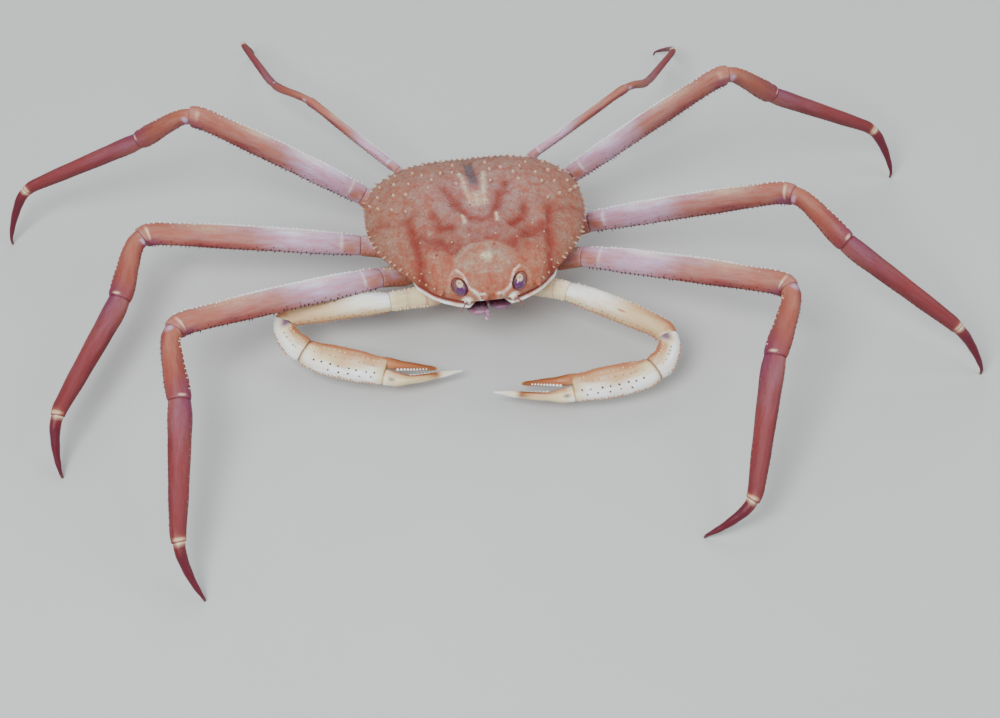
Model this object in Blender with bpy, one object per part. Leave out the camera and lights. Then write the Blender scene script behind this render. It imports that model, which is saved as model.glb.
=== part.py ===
"""Grooved tanner crab, a still life-size model in a wide standing pose.

Sizes are in millimetres and are turned into metres where a mesh is made. +Z is up, +X is the crab's left,
and it faces -Y. Every limb is a chain of articles that stand face to face, a clearance apart.
"""
import math
import random

import bpy
import bmesh
from mathutils import Matrix, Vector

MM = 0.001
CLEARANCE = 0.3
UP = Vector((0.0, 0.0, 1.0))
SIDES = {"left": 1, "right": -1}

# Carapace: outline of its left half as (out, along) from the front to the back, heights, and its slope
CARAPACE_OUTLINE = (
    (0, -91), (19, -90), (39.5, -80), (51, -67.5), (66, -50), (78, -32),
    (84.5, -6), (83.5, 20), (73, 41), (57, 54), (38, 60), (19, 61.5), (0, 61),
)
MARGIN_HEIGHT = 62.0
MARGIN_SLOPE = 0.06
DOME_RISE = 29.0
REAR_SLOPE = {"start": -10.0, "end": 61.0, "drop": 0.42}
DOME_ROUNDNESS = 2.5
CARAPACE_FLOOR = 49.0
# Rings below the margin, as (share of the margin's distance, drop): at the front they end in a lip
FLANK = {"side": ((0.97, 3.2), (0.93, 5.2), (0.90, 6.5)), "front": ((0.975, 3.4), (0.995, 7.4), (0.94, 9.8))}
LIP = {"inner": 9.0, "outer": 16.0, "back": -54.0, "front": -66.0}
FLOOR_REACH = 0.78
CARAPACE_SPOKES = 48
CARAPACE_RINGS = 9

# Swellings and hollows of the dome: out, along, spread out, spread along, rise
REGIONS = {
    "gastric": (0, -38, 24, 20, 3.0),
    "cardiac": (0, 6, 13, 10, 2.0),
    "branchial": (42, 16, 26, 28, 3.6),
    "hepatic": (56, -40, 10, 12, 1.2),
    "cervical groove": (36, -28, 9, 15, -3.2),
    "cardiac groove": (19, -6, 7, 14, -2.0),
    "brow hollow": (28, -62, 9, 9, -1.4),
}
MEDIAN_GROOVE = {"front": 14.0, "back": 60.0, "half_width": 5.5, "depth": 5.0}

# Eyes stand in bowls that are wider than they are, and meet them at the bottom
EYE_CENTRE = Vector((22.5, -82.3, 75.3))
EYE_RADII = Vector((5.2, 6.8, 6.2))
ORBIT_ROOM = Vector((1.6, 1.8, 1.5))

# Flat blunt teeth of the front: middle of the root, way out and up, length, half breadth, half height
ROSTRUM_TOOTH = {"root": (4.4, -82.0, 73.0), "way": (0.05, -1.0, -0.06), "length": 13.0, "breadth": 4.6,
                 "height": 3.2}
ORBIT_TOOTH = {"root": (36.0, -76.0, 71.0), "way": (0.10, -1.0, 0.12), "length": 10.0, "breadth": 3.4,
               "height": 2.4}
TOOTH_OUTLINE = ((0, 1.0, 1.0), (0.5, 0.9, 0.92), (0.8, 0.6, 0.62), (1, 0.14, 0.14))
ANTENNA = {"out": 14.0, "along": -83.0, "height": 65.5, "boss": 9.0, "length": 13.0, "radius": 1.2,
           "tip": 0.35}

# Trunk under the carapace: one flat side for each limb, as (out, along, heading of its normal)
THORAX_TOP = CARAPACE_FLOOR - CLEARANCE
THORAX_SIDE_FOOT = 28.0
THORAX_BOTTOM = 25.0
THORAX_INSET = 0.86
FLAT_HALF_LENGTH = 11.0
THORAX_FRONT = (18, -60)
THORAX_BACK = (17, 56.5)
LIMB_FLATS = {
    "cheliped": (33.0, -50.0, -49.0),
    "leg_1": (52.0, -30.0, -22.0),
    "leg_2": (58.5, -3.0, -2.0),
    "leg_3": (53.0, 26.5, 22.0),
    "leg_4": (36.0, 46.5, 51.0),
}
FLAT_HEIGHT = 39.5
ABDOMEN = {"back": 48.0, "front": -22.0, "half_width": 17.0, "tip": 6.0, "thickness": 4.0}
MAXILLIPED = {"out": 9.3, "height": 38.5, "half_width": 8.2, "half_thickness": 3.0, "pitch": 30.0}
MAXILLIPED_LENGTHS = {1: 22.0, -1: 30.0}

# Walking legs: merus root (out, along, up), article lengths, half breadths and half thickness ratio
ARTICLES = ("merus", "carpus", "propodus", "dactyl")
LEG_ROOTS = {1: (78, -40, 48), 2: (89, 0, 42), 3: (82, 46, 49), 4: (52, 68, 51)}
LEG_LENGTHS = {1: (170, 64, 108, 44), 2: (170, 56, 110, 44), 3: (152, 62, 105, 45), 4: (96, 48, 77, 38)}
LEG_BREADTHS = {
    1: (9.8, 8.4, 8.4, 4.6), 2: (10.2, 8.4, 8.2, 4.6), 3: (9.8, 7.6, 6.8, 4.2), 4: (5.6, 4.3, 4.0, 2.9),
}
LEG_FLATNESS = (0.64, 0.72, 0.70, 0.85)
LEG_BOWS = (1.5, 0.8, 0.0, 2.6)

# How far the rounded bends of a limb's axis reach from its corners, and how a dactyl comes down to the floor
ROOT_REACH = 8.0
BEND_REACH = 16.0
BEND_SHARE = 0.4
ANKLE_SHARE = 0.2
TOE = {"fall": 0.9, "reach": 0.8}
CLAW_REACHES = (ROOT_REACH, 15.0, 14.0, 0.0)

# Pose of each leg: heading, pitch of the first three articles, and the dactyl's heading
LEG_POSES = {
    (1, "right"): ((-162.5, 9.0), (-86.0, -7.5), (-96.0, -16.5), -62.0),
    (2, "right"): ((174.5, 7.5), (-108.5, -18.5), (-118.5, -5.5), -91.5),
    (3, "right"): ((168.0, 32.3), (154.5, -44.0), (178.0, -25.0), -133.5),
    (4, "right"): ((131.5, 10.0), (125.5, -21.0), (106.5, -13.0), 69.5),
    (1, "left"): ((-30.0, 12.5), (-115.5, -7.5), (-108.0, -26.5), -170.0),
    (2, "left"): ((-20.5, 24.5), (-57.5, -13.0), (-27.5, -32.5), -36.5),
    (3, "left"): ((0.5, 38.7), (20.5, -46.5), (3.5, -31.5), -40.5),
    (4, "left"): ((22.5, 20.0), (54.5, -38.5), (60.0, -19.5), 114.5),
}

# Claw limbs: merus root, article lengths and the heading and pitch of merus, carpus, palm and movable finger
CHELIPED_ROOTS = {"right": (73, -60, 42), "left": (62, -70, 44)}
CHELIPED_LENGTHS = (86, 34, 64, 60)
CHELIPED_BREADTHS = (9.0, 9.2, 12.0)
CHELIPED_FLATNESS = (0.80, 0.84, 0.68)
CHELIPED_POSES = {
    "right": ((179.5, -4.0), (-58.0, -22.0), (-21.5, -3.0), (4.0, -7.0)),
    "left": ((-30.5, -7.5), (-122.0, -15.0), (-177.5, -4.5), (169.5, -1.5)),
}
FINGER = {"half_breadth": 6.0, "half_thickness": 4.6, "tip": 0.8, "stem": 16.0, "seat": 4.4}
FIXED_FINGER = {"half_breadth": 4.2, "half_thickness": 3.8, "tip": 0.8, "length": 36.0, "drop": 12.0,
                "stem": 7.0, "seat": -7.2, "root": 9.0, "spread": 12.0}
CHELIPED_BOWS = (1.0, 1.5, 0.6)

# Outline of each kind of article along its length: (place, breadth share, thickness share)
OUTLINES = {
    "base": ((0, 1.0, 1.0), (0.3, 1.04, 1.04), (0.65, 0.96, 0.96), (1, 1.0, 1.0)),
    "merus": ((0, 0.80, 1.0), (0.06, 0.86, 1.02), (0.25, 0.97, 1.0), (0.6, 1.0, 0.98), (0.85, 0.90, 0.92),
              (0.94, 0.92, 0.98), (1, 0.86, 1.0)),
    "carpus": ((0, 0.84, 1.0), (0.14, 0.84, 0.94), (0.45, 0.95, 0.96), (0.8, 1.08, 1.04), (0.93, 1.02, 1.02),
               (1, 0.92, 1.0)),
    "propodus": ((0, 0.90, 1.0), (0.10, 1.08, 1.06), (0.3, 0.98, 0.96), (0.65, 0.86, 0.88),
                 (0.92, 0.72, 0.84), (1, 0.66, 0.8)),
    "dactyl": ((0, 1.0, 1.0), (0.12, 0.92, 0.95), (0.4, 0.72, 0.78), (0.7, 0.50, 0.56), (0.92, 0.28, 0.32),
               (1, 0.22, 0.26)),
    "palm": ((0, 0.80, 0.92), (0.10, 0.88, 0.98), (0.35, 1.0, 1.06), (0.65, 1.0, 1.02), (0.9, 0.88, 0.86),
             (1, 0.84, 0.80)),
}
LIMB_SIDES = 10
LEG_SIDES = 8
RING_SPACING = 2.5
CROOK_SHARE = 0.8
COXA_STEM = 7.0
COXA_RADIUS = 8.6

# Rows of spines along an article: (angle round the section, count, first place, last place, length, radius)
LEG_ROWS = {
    "merus": ((8, 11, 0.06, 0.95, 2.4, 1.0), (180, 11, 0.06, 0.92, 2.0, 0.9)),
    "carpus": ((12, 4, 0.35, 0.9, 1.9, 0.9),),
    "propodus": ((8, 4, 0.12, 0.6, 1.6, 0.8),),
}
SMALL_LEG_SHARE = 0.6
CLAW_ROWS = {
    "base": ((180, 2, 0.5, 0.85, 2.4, 1.1),),
    "merus": ((12, 8, 0.08, 0.92, 3.2, 1.3), (180, 8, 0.10, 0.9, 2.8, 1.2)),
    "carpus": ((15, 6, 0.2, 0.9, 2.6, 1.2), (-50, 3, 0.4, 0.85, 2.2, 1.1)),
    "palm": ((5, 9, 0.08, 0.93, 2.2, 1.1), (180, 8, 0.14, 0.9, 2.0, 1.1)),
    "fixed finger": ((0, 6, 0.34, 0.86, 1.8, 1.1),),
}
SPINE_LEAN = 0.35
SPINE_SUNK = 0.5

# Spines of the carapace: rows as lists of (heading, share of the way out, length), mirrored
MARGIN_ROW = {"first": -58.0, "last": 58.0, "step": 8.5, "length": 3.6, "radius": 2.0}
SIDE_ROW = {"places": ((6.6, 0.93), (0.8, 0.865), (-5.4, 0.76), (-13.3, 0.66)), "length": 3.4,
            "radius": 2.1}
BACK_ROW = {"first": 64.0, "last": 90.0, "step": 6.5, "share": 0.955, "length": 2.6, "radius": 2.1}
# Tubercles of the upper face: (out, along) places, mirrored; the ones in front are smaller
TUBERCLES = (
    (60, 22), (48, 14), (34, 45), (24, 24), (31, 15), (13, 36), (52, 4), (19, 50), (35, 6), (46, 46),
    (63, 38), (44, 30), (57, 36), (70, 28), (15, 24), (39, -36), (47, -44), (24, -50), (10, -48),
    (39, -58), (43, -68), (49, -64), (12, 8), (72, 14), (38, 23), (62, 8),
)
TUBERCLE = {"seed": 7, "length": 2.6, "radius": 2.2, "shift": 1.0, "front": -30.0, "front_share": 0.75}

COLOURS = {
    "carapace": (0.66, 0.30, 0.17), "thorax": (0.80, 0.58, 0.44), "abdomen": (0.82, 0.60, 0.46),
    "maxilliped": (0.62, 0.26, 0.22), "eye": (0.10, 0.04, 0.12), "antenna": (0.75, 0.45, 0.32),
    "base": (0.74, 0.46, 0.34), "merus": (0.78, 0.42, 0.34), "carpus": (0.74, 0.28, 0.15),
    "propodus": (0.68, 0.20, 0.13), "dactyl": (0.58, 0.10, 0.08),
    "claw": (0.84, 0.68, 0.46), "finger": (0.74, 0.34, 0.14),
}


def remove_everything():
    """Start from an empty scene."""
    for item in list(bpy.data.objects):
        bpy.data.objects.remove(item, do_unlink=True)


def new_collection(name):
    """A collection linked to the scene."""
    group = bpy.data.collections.new(name)
    bpy.context.scene.collection.children.link(group)
    return group


def material(name, colour, roughness=0.55):
    """One plain surface in the part's own colour."""
    surface = bpy.data.materials.new(name)
    surface.use_nodes = True
    shader = surface.node_tree.nodes["Principled BSDF"]
    shader.inputs["Base Color"].default_value = (*colour, 1.0)
    shader.inputs["Roughness"].default_value = roughness
    shader.inputs["Metallic"].default_value = 0.0
    return surface


def direction(heading, pitch):
    """Unit vector from a heading, counted from +X towards +Y, and a pitch above the floor, in degrees."""
    turn, lift = math.radians(heading), math.radians(pitch)
    return Vector((math.cos(lift) * math.cos(turn), math.cos(lift) * math.sin(turn), math.sin(lift)))


def between(table, place):
    """Values of a (place, value, ...) table at one place, joined by smooth steps."""
    for low, high in zip(table, table[1:]):
        if place <= high[0]:
            share = (place - low[0]) / (high[0] - low[0])
            share = share * share * (3.0 - 2.0 * share)
            return [a + (b - a) * share for a, b in zip(low[1:], high[1:])]
    return list(table[-1][1:])


def object_from(name, mesh_maker, group):
    """Make a mesh object from a function that fills a bmesh in millimetres."""
    build = bmesh.new()
    mesh_maker(build)
    bmesh.ops.scale(build, vec=(MM, MM, MM), verts=build.verts)
    bmesh.ops.recalc_face_normals(build, faces=build.faces)
    mesh = bpy.data.meshes.new(name)
    build.to_mesh(mesh)
    build.free()
    item = bpy.data.objects.new(name, mesh)
    group.objects.link(item)
    return item


def loft(build, rings):
    """Skin a list of rings and close both ends."""
    rows = [[build.verts.new(point) for point in ring] for ring in rings]
    count = len(rows[0])
    for low, high in zip(rows, rows[1:]):
        for k in range(count):
            build.faces.new((low[k], low[(k + 1) % count], high[(k + 1) % count], high[k]))
    build.faces.new(reversed(rows[0]))
    build.faces.new(rows[-1])


def corner_run(before, corner, after, reach, steps):
    """Points, tangents and bend of a rounded corner of a limb's axis, at each step from 0 to 1."""
    start = corner + (before - corner).normalized() * reach
    end = corner + (after - corner).normalized() * reach
    swing = (start - corner * 2.0 + end) * 2.0
    run = []
    for step in steps:
        point = start * (1.0 - step) ** 2 + corner * (2.0 * step * (1.0 - step)) + end * step ** 2
        speed = ((corner - start) * (1.0 - step) + (end - corner) * step) * 2.0
        bend = speed.cross(swing).length / speed.length ** 3
        run.append((point, speed.normalized(), bend))
    return run


FIRST_HALF = (0.0, 0.25, 0.5)
SECOND_HALF = (0.5, 0.75, 1.0)


def axis_between(path, reaches, first, last):
    """Samples of the rounded axis between two path points; inner points are corners, ends are joints."""
    samples = []
    for k in range(first, last + 1):
        if k == 0:
            samples.append((path[0], (path[1] - path[0]).normalized(), 0.0))
        elif k == len(path) - 1:
            samples.append((path[-1], (path[-1] - path[-2]).normalized(), 0.0))
        else:
            steps = SECOND_HALF if k == first else FIRST_HALF if k == last else FIRST_HALF + SECOND_HALF[1:]
            samples += corner_run(path[k - 1], path[k], path[k + 1], reaches[k], steps)
    return samples


class Article:
    """One limb article: a tapered, slightly bowed tube along a run of axis samples."""

    def __init__(self, samples, dorsal, outline, breadth, thickness, bow=0.0, flare=None, gaps=(1, 1)):
        self.points = [sample[0].copy() for sample in samples]
        self.tangents = [sample[1] for sample in samples]
        self.bends = [sample[2] for sample in samples]
        self.points[0] += self.tangents[0] * (gaps[0] * CLEARANCE / 2)
        self.points[-1] -= self.tangents[-1] * (gaps[1] * CLEARANCE / 2)
        steps = [(b - a).length for a, b in zip(self.points, self.points[1:])]
        self.length = sum(steps)
        self.marks = [sum(steps[:k]) / self.length for k in range(len(self.points))]
        self.way = (self.points[-1] - self.points[0]).normalized()
        self.dorsal = (dorsal - self.way * dorsal.dot(self.way)).normalized()
        self.outline, self.breadth, self.thickness = outline, breadth, thickness
        self.bow = bow
        self.flare = flare

    def axis(self, place):
        """Centre, tangent and bend of the axis at a place from 0 to 1."""
        k = 0
        while k + 2 < len(self.marks) and place > self.marks[k + 1]:
            k += 1
        share = (place - self.marks[k]) / (self.marks[k + 1] - self.marks[k])
        centre = self.points[k].lerp(self.points[k + 1], share)
        centre += self.dorsal * (4.0 * self.bow * place * (1.0 - place))
        tangent = self.tangents[k].lerp(self.tangents[k + 1], share).normalized()
        return centre, tangent, self.bends[k] + (self.bends[k + 1] - self.bends[k]) * share

    def sizes(self, place):
        """Half breadth and half thickness; a base article flares out from its root."""
        breadth_share, thickness_share = between(self.outline, place)
        breadth, thickness = self.breadth * breadth_share, self.thickness * thickness_share
        if self.flare:
            breadth = self.flare + (breadth - self.flare) * place
            thickness = self.flare + (thickness - self.flare) * place
        return breadth, thickness

    def frame(self, place):
        """Centre of a section with its dorsal and flat directions."""
        centre, tangent, bend = self.axis(place)
        dorsal = (self.dorsal - tangent * self.dorsal.dot(tangent)).normalized()
        return centre, dorsal, tangent.cross(dorsal), bend

    def point(self, place, angle):
        """Point on the skin; angle 0 is the dorsal edge and 180 the ventral edge."""
        centre, dorsal, flat, bend = self.frame(place)
        breadth, thickness = self.sizes(place)
        turn = math.radians(angle)
        across = breadth * math.cos(turn)
        if bend > 0.0:
            across = max(across, -CROOK_SHARE / bend)
        return self.held_back(centre, dorsal * across + flat * (thickness * math.sin(turn)))

    def held_back(self, centre, offset):
        """Point of a section, kept on its own side of both joint planes where a limb is folded sharply."""
        share = 1.0
        for corner, normal in ((self.points[0], self.tangents[0]), (self.points[-1], -self.tangents[-1])):
            room = (centre - corner).dot(normal)
            depth = -offset.dot(normal)
            if depth > room > 0.0:
                share = min(share, room / depth)
        return centre + offset * share

    def outward(self, place, angle):
        """Outward normal of the skin, from the section alone."""
        _, dorsal, flat, _ = self.frame(place)
        breadth, thickness = self.sizes(place)
        turn = math.radians(angle)
        return (dorsal * (math.cos(turn) / breadth) + flat * (math.sin(turn) / thickness)).normalized()

    def places(self):
        """Where the rings stand: at the outline's own places and inside the bends."""
        stops = []
        for stop in sorted({row[0] for row in self.outline} | set(self.marks)):
            if not stops or stop - stops[-1] > RING_SPACING / self.length or stop == 1.0:
                stops.append(stop)
        if 1.0 - stops[-2] < RING_SPACING / self.length:
            stops.pop(-2)
        return stops

    def rings(self, sides=LIMB_SIDES):
        """Sections from root to tip."""
        return [[self.point(place, 360.0 * k / sides) for k in range(sides)] for place in self.places()]


def straight_article(start, end, dorsal, outline, breadth, thickness, bow=0.0):
    """An article along a straight axis."""
    way = (end - start).normalized()
    samples = [(start, way, 0.0), (end, way, 0.0)]
    return Article(samples, dorsal, outline, breadth, thickness, bow, gaps=(0, 0))


def limb_articles(flat, side, corners, reaches, breadths, flatness, outlines, bows, dorsals, last_gap):
    """Base article and the chain beyond it, through the limb's corner points, face to face at each joint."""
    out, along, heading = LIMB_FLATS[flat]
    normal = direction(heading, 0.0)
    normal.x *= side
    foot = Vector((side * out, along, FLAT_HEIGHT)) + normal * (CLEARANCE / 2)
    path = [foot, foot + normal * COXA_STEM] + corners
    bends = [0.0, COXA_STEM * 0.8] + reaches
    chain = []
    for k, outline in enumerate(outlines):
        last = len(path) - 1 if k == len(outlines) - 1 else k + 3
        gaps = (1, last_gap if k == len(outlines) - 1 else 1)
        samples = axis_between(path, bends, k + 2, last)
        chain.append(Article(samples, dorsals[k], outline, breadths[k], breadths[k] * flatness[k], bows[k],
                             gaps=gaps))
    breadth, thickness = chain[0].sizes(0.0)
    coxa = min(COXA_RADIUS, 1.5 * breadth)
    base = Article(axis_between(path, bends, 0, 2), dorsals[0], OUTLINES["base"], breadth, thickness,
                   flare=coxa)
    return [base] + chain


def extensor_side(ways):
    """Side of each article that faces away from the limb's main bend."""
    first, far = ways[0], ways[2]
    bend = first.cross(far).normalized()
    sides = []
    for way in ways:
        dorsal = way.cross(bend)
        sides.append(dorsal.normalized())
    if sides[0].dot(far) > 0.0:
        sides = [-dorsal for dorsal in sides]
    return sides


def leg_articles(number, side_name):
    """Articles of one walking leg, from the base to the dactyl's flat tip on the floor."""
    side = SIDES[side_name]
    out, along, up = LEG_ROOTS[number]
    root = Vector((side * out, along, up))
    lengths = LEG_LENGTHS[number]
    pose = LEG_POSES[(number, side_name)]
    ways = [direction(*pose[k]) for k in range(3)]
    points = [root]
    for way, length in zip(ways, lengths):
        points.append(points[-1] + way * length)
    drop = math.degrees(math.asin(TOE["fall"] * points[3].z / lengths[3]))
    ways.append(direction(pose[3], -drop))
    toe = points[3] + ways[3] * lengths[3]
    corners = points + [toe, Vector((toe.x, toe.y, 0.0))]
    reaches = [ROOT_REACH] + [min(BEND_REACH, BEND_SHARE * length) for length in lengths[:2]]
    reaches += [ANKLE_SHARE * lengths[3], TOE["reach"] * toe.z, 0.0]
    return limb_articles(f"leg_{number}", side, corners, reaches, LEG_BREADTHS[number], LEG_FLATNESS,
                         [OUTLINES[kind] for kind in ARTICLES], LEG_BOWS, extensor_side(ways), 0)


def spike(group, base, axis, length, radius, sides=5):
    """One spine: a cone with its root sunk below the skin."""
    sunk = SPINE_SUNK * length

    def cone(build):
        bmesh.ops.create_cone(build, cap_ends=True, segments=sides, radius1=radius, radius2=0.0,
                              depth=length + sunk)
        bmesh.ops.remove_doubles(build, verts=build.verts, dist=1e-5)
        turn = UP.rotation_difference(axis).to_matrix()
        bmesh.ops.rotate(build, matrix=turn, verts=build.verts)
        bmesh.ops.translate(build, vec=base + axis * ((length - sunk) / 2), verts=build.verts)

    return object_from("spine", cone, group)


def spine_row(group, article, row, draw, share=1.0):
    """Spines along one edge of an article, varied in length and leaning towards its tip."""
    angle, count, first, last, length, radius = row
    count = max(2, round(count * share))
    for k in range(count):
        place = first + (last - first) * (k + 0.5 * draw.random()) / max(1, count - 0.5)
        centre, dorsal, flat, _ = article.frame(place)
        tangent = dorsal.cross(flat)
        axis = (article.outward(place, angle) + tangent * SPINE_LEAN).normalized()
        size = length * draw.uniform(0.8, 1.15) * share ** 0.5
        spike(group, article.point(place, angle), axis, size, radius * share ** 0.5, 4)


def evaluated_mesh(item):
    """The object's mesh with its modifiers applied."""
    graph = bpy.context.evaluated_depsgraph_get()
    return bpy.data.meshes.new_from_object(item.evaluated_get(graph))


def largest_body(mesh):
    """Keep only the mesh's largest connected surface."""
    build = bmesh.new()
    build.from_mesh(mesh)
    unseen = set(build.verts)
    bodies = []
    while unseen:
        body, edge = set(), [unseen.pop()]
        while edge:
            corner = edge.pop()
            body.add(corner)
            for link in corner.link_edges:
                other = link.other_vert(corner)
                if other in unseen:
                    unseen.remove(other)
                    edge.append(other)
        bodies.append(body)
    keep = max(bodies, key=len)
    loose = [corner for corner in build.verts if corner not in keep]
    bmesh.ops.delete(build, geom=loose, context="VERTS")
    build.to_mesh(mesh)
    build.free()


def combine(item, group, operation="UNION"):
    """Join or cut an object with every object of a collection, then remove the collection's objects."""
    if not group.objects:
        return
    change = item.modifiers.new("combine", "BOOLEAN")
    change.operation = operation
    change.operand_type = "COLLECTION"
    change.collection = group
    change.solver = "MANIFOLD"
    mesh = evaluated_mesh(item)
    item.modifiers.remove(change)
    old = item.data
    item.data = mesh
    bpy.data.meshes.remove(old)
    largest_body(item.data)
    for piece in list(group.objects):
        bpy.data.objects.remove(piece, do_unlink=True)


def outline_radius(heading):
    """Distance from the body's middle to the carapace margin, by heading in degrees from +X."""
    way = Vector((abs(math.cos(math.radians(heading))), math.sin(math.radians(heading))))
    for low, high in zip(CARAPACE_OUTLINE, CARAPACE_OUTLINE[1:]):
        a, b = Vector(low), Vector(high)
        edge = b - a
        cross = way.x * edge.y - way.y * edge.x
        if abs(cross) < 1e-9:
            continue
        reach = (a.x * edge.y - a.y * edge.x) / cross
        share = (a.x * way.y - a.y * way.x) / cross
        if reach > 0.0 and -1e-6 <= share <= 1.0 + 1e-6:
            return reach
    raise ValueError("the outline has a gap")


def smooth_radius(heading, spread=5.0):
    """The margin's distance averaged over a few degrees, so that it runs round without corners."""
    steps = (-1.0, -0.5, 0.0, 0.5, 1.0)
    return sum(outline_radius(heading + spread * step) for step in steps) / len(steps)


def relief(out, along):
    """Height of the dome's swellings and hollows at a place."""
    height = 0.0
    for centre_out, centre_along, spread_out, spread_along, rise in REGIONS.values():
        for side in ((1, -1) if centre_out else (1,)):
            a = (out - side * centre_out) / spread_out
            b = (along - centre_along) / spread_along
            height += rise * math.exp(-a * a - b * b)
    groove = MEDIAN_GROOVE
    if groove["front"] < along < groove["back"]:
        share = (along - groove["front"]) / (groove["back"] - groove["front"])
        depth = groove["depth"] * min(1.0, 6.0 * share, 3.0 * (1.0 - share))
        height -= depth * math.exp(-((out / groove["half_width"]) ** 2))
    return height


def margin_height(along):
    """The margin climbs towards the front."""
    return MARGIN_HEIGHT - MARGIN_SLOPE * along


def dome_rise(along):
    """The dome is lower towards the back."""
    share = (along - REAR_SLOPE["start"]) / (REAR_SLOPE["end"] - REAR_SLOPE["start"])
    share = min(1.0, max(0.0, share))
    return DOME_RISE * (1.0 - REAR_SLOPE["drop"] * share * share)


def dome_point(heading, share):
    """Point on the carapace's upper face, at a share of the way out to the margin."""
    radius = smooth_radius(heading) * share
    out = radius * math.cos(math.radians(heading))
    along = radius * math.sin(math.radians(heading))
    rise = math.sqrt(max(0.0, 1.0 - share ** DOME_ROUNDNESS))
    fade = min(1.0, 5.0 * (1.0 - share))
    return Vector((out, along, margin_height(along) + dome_rise(along) * rise + relief(out, along) * fade))


def dome_normal(heading, share):
    """Outward normal of the upper face."""
    step = 0.01
    across = dome_point(heading + 1.5, share) - dome_point(heading - 1.5, share)
    inward = dome_point(heading, share - step) - dome_point(heading, min(1.0, share + step))
    normal = across.cross(inward).normalized()
    return normal if normal.z > 0.0 else -normal


def flank_point(heading, share, drop):
    """Point on the carapace's side, below the margin."""
    radius = smooth_radius(heading)
    out = radius * share * math.cos(math.radians(heading))
    along = radius * share * math.sin(math.radians(heading))
    return Vector((out, along, margin_height(along) - drop))


def flank_ring(row, headings):
    """One ring of the carapace's side; the front's flank takes the place of the side's towards the lip."""
    ring = []
    for heading in headings:
        edge = flank_point(heading, 1.0, 0.0)
        inward = (abs(edge.x) - LIP["inner"]) / (LIP["outer"] - LIP["inner"])
        forward = (edge.y - LIP["back"]) / (LIP["front"] - LIP["back"])
        weight = min(1.0, max(0.0, inward)) * min(1.0, max(0.0, forward))
        share, drop = [a + (b - a) * weight for a, b in zip(FLANK["side"][row], FLANK["front"][row])]
        ring.append(flank_point(heading, share, drop))
    return ring


def carapace_cage(build):
    """Rings from the floor of the carapace, round its margin and up the dome."""
    headings = [360.0 * k / CARAPACE_SPOKES for k in range(CARAPACE_SPOKES)]
    rings = []
    low = [flank_point(heading, FLOOR_REACH, 0.0) for heading in headings]
    rings.append([Vector((point.x, point.y, CARAPACE_FLOOR)) for point in low])
    for row in reversed(range(len(FLANK["side"]))):
        rings.append(flank_ring(row, headings))
    for k in range(CARAPACE_RINGS):
        share = math.cos(0.5 * math.pi * k / CARAPACE_RINGS)
        rings.append([dome_point(heading, share) for heading in headings])
    rows = [[build.verts.new(point) for point in ring] for ring in rings]
    count = len(headings)
    for low, high in zip(rows, rows[1:]):
        for k in range(count):
            build.faces.new((low[k], low[(k + 1) % count], high[(k + 1) % count], high[k]))
    build.faces.new(reversed(rows[0]))
    crown = build.verts.new(dome_point(0.0, 0.0))
    for k in range(count):
        build.faces.new((rows[-1][k], rows[-1][(k + 1) % count], crown))


def dome_spine(group, heading, share, length, radius, draw, level=0.0):
    """One spine of the carapace; level turns it from the surface's normal towards the horizontal."""
    base = dome_point(heading, share)
    outward = Vector((base.x, base.y, 0.0)).normalized()
    axis = (dome_normal(heading, min(share, 0.97)) * (1.0 - level) + outward * level).normalized()
    spike(group, base, axis, length * draw.uniform(0.85, 1.2), radius, 5)


def add_carapace_spines(group):
    """Rows along the margin, the sides and the back, and tubercles on the swellings of both sides."""
    draw = random.Random(TUBERCLE["seed"])
    for mirror in (False, True):
        def turned(heading):
            return 180.0 - heading if mirror else heading
        row = MARGIN_ROW
        heading = row["first"]
        while heading <= row["last"]:
            dome_spine(group, turned(heading), 0.99, row["length"], row["radius"], draw, 0.75)
            heading += row["step"]
        for heading, share in SIDE_ROW["places"]:
            dome_spine(group, turned(heading), share, SIDE_ROW["length"], SIDE_ROW["radius"], draw)
        row = BACK_ROW
        heading = row["first"] + (row["step"] if mirror else 0.0)
        while heading <= row["last"]:
            dome_spine(group, turned(heading), row["share"], row["length"], row["radius"], draw, 0.3)
            heading += row["step"]
        for out, along in TUBERCLES:
            size = TUBERCLE["front_share"] if along < TUBERCLE["front"] else 1.0
            length, radius = TUBERCLE["length"] * size, TUBERCLE["radius"] * size
            out += draw.uniform(-TUBERCLE["shift"], TUBERCLE["shift"])
            along += draw.uniform(-TUBERCLE["shift"], TUBERCLE["shift"])
            heading = math.degrees(math.atan2(along, out))
            share = math.hypot(out, along) / smooth_radius(heading)
            dome_spine(group, turned(heading), share, length, radius, draw)


def ellipsoid(build, centre, radii):
    """A closed rounded body."""
    bmesh.ops.create_uvsphere(build, u_segments=14, v_segments=9, radius=1.0)
    bmesh.ops.scale(build, vec=radii, verts=build.verts)
    bmesh.ops.translate(build, vec=centre, verts=build.verts)


def eye_centre(side):
    """Middle of one eye."""
    return Vector((side * EYE_CENTRE.x, EYE_CENTRE.y, EYE_CENTRE.z))


def front_tooth(tooth, side, group):
    """One flat blunt tooth of the carapace's front."""
    out, along, up = tooth["root"]
    way = Vector((side * tooth["way"][0], *tooth["way"][1:])).normalized()
    start = Vector((side * out, along, up))
    blade = straight_article(start, start + way * tooth["length"], UP, TOOTH_OUTLINE, tooth["height"],
                             tooth["breadth"])
    object_from("tooth", lambda build: loft(build, blade.rings(8)), group)


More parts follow.
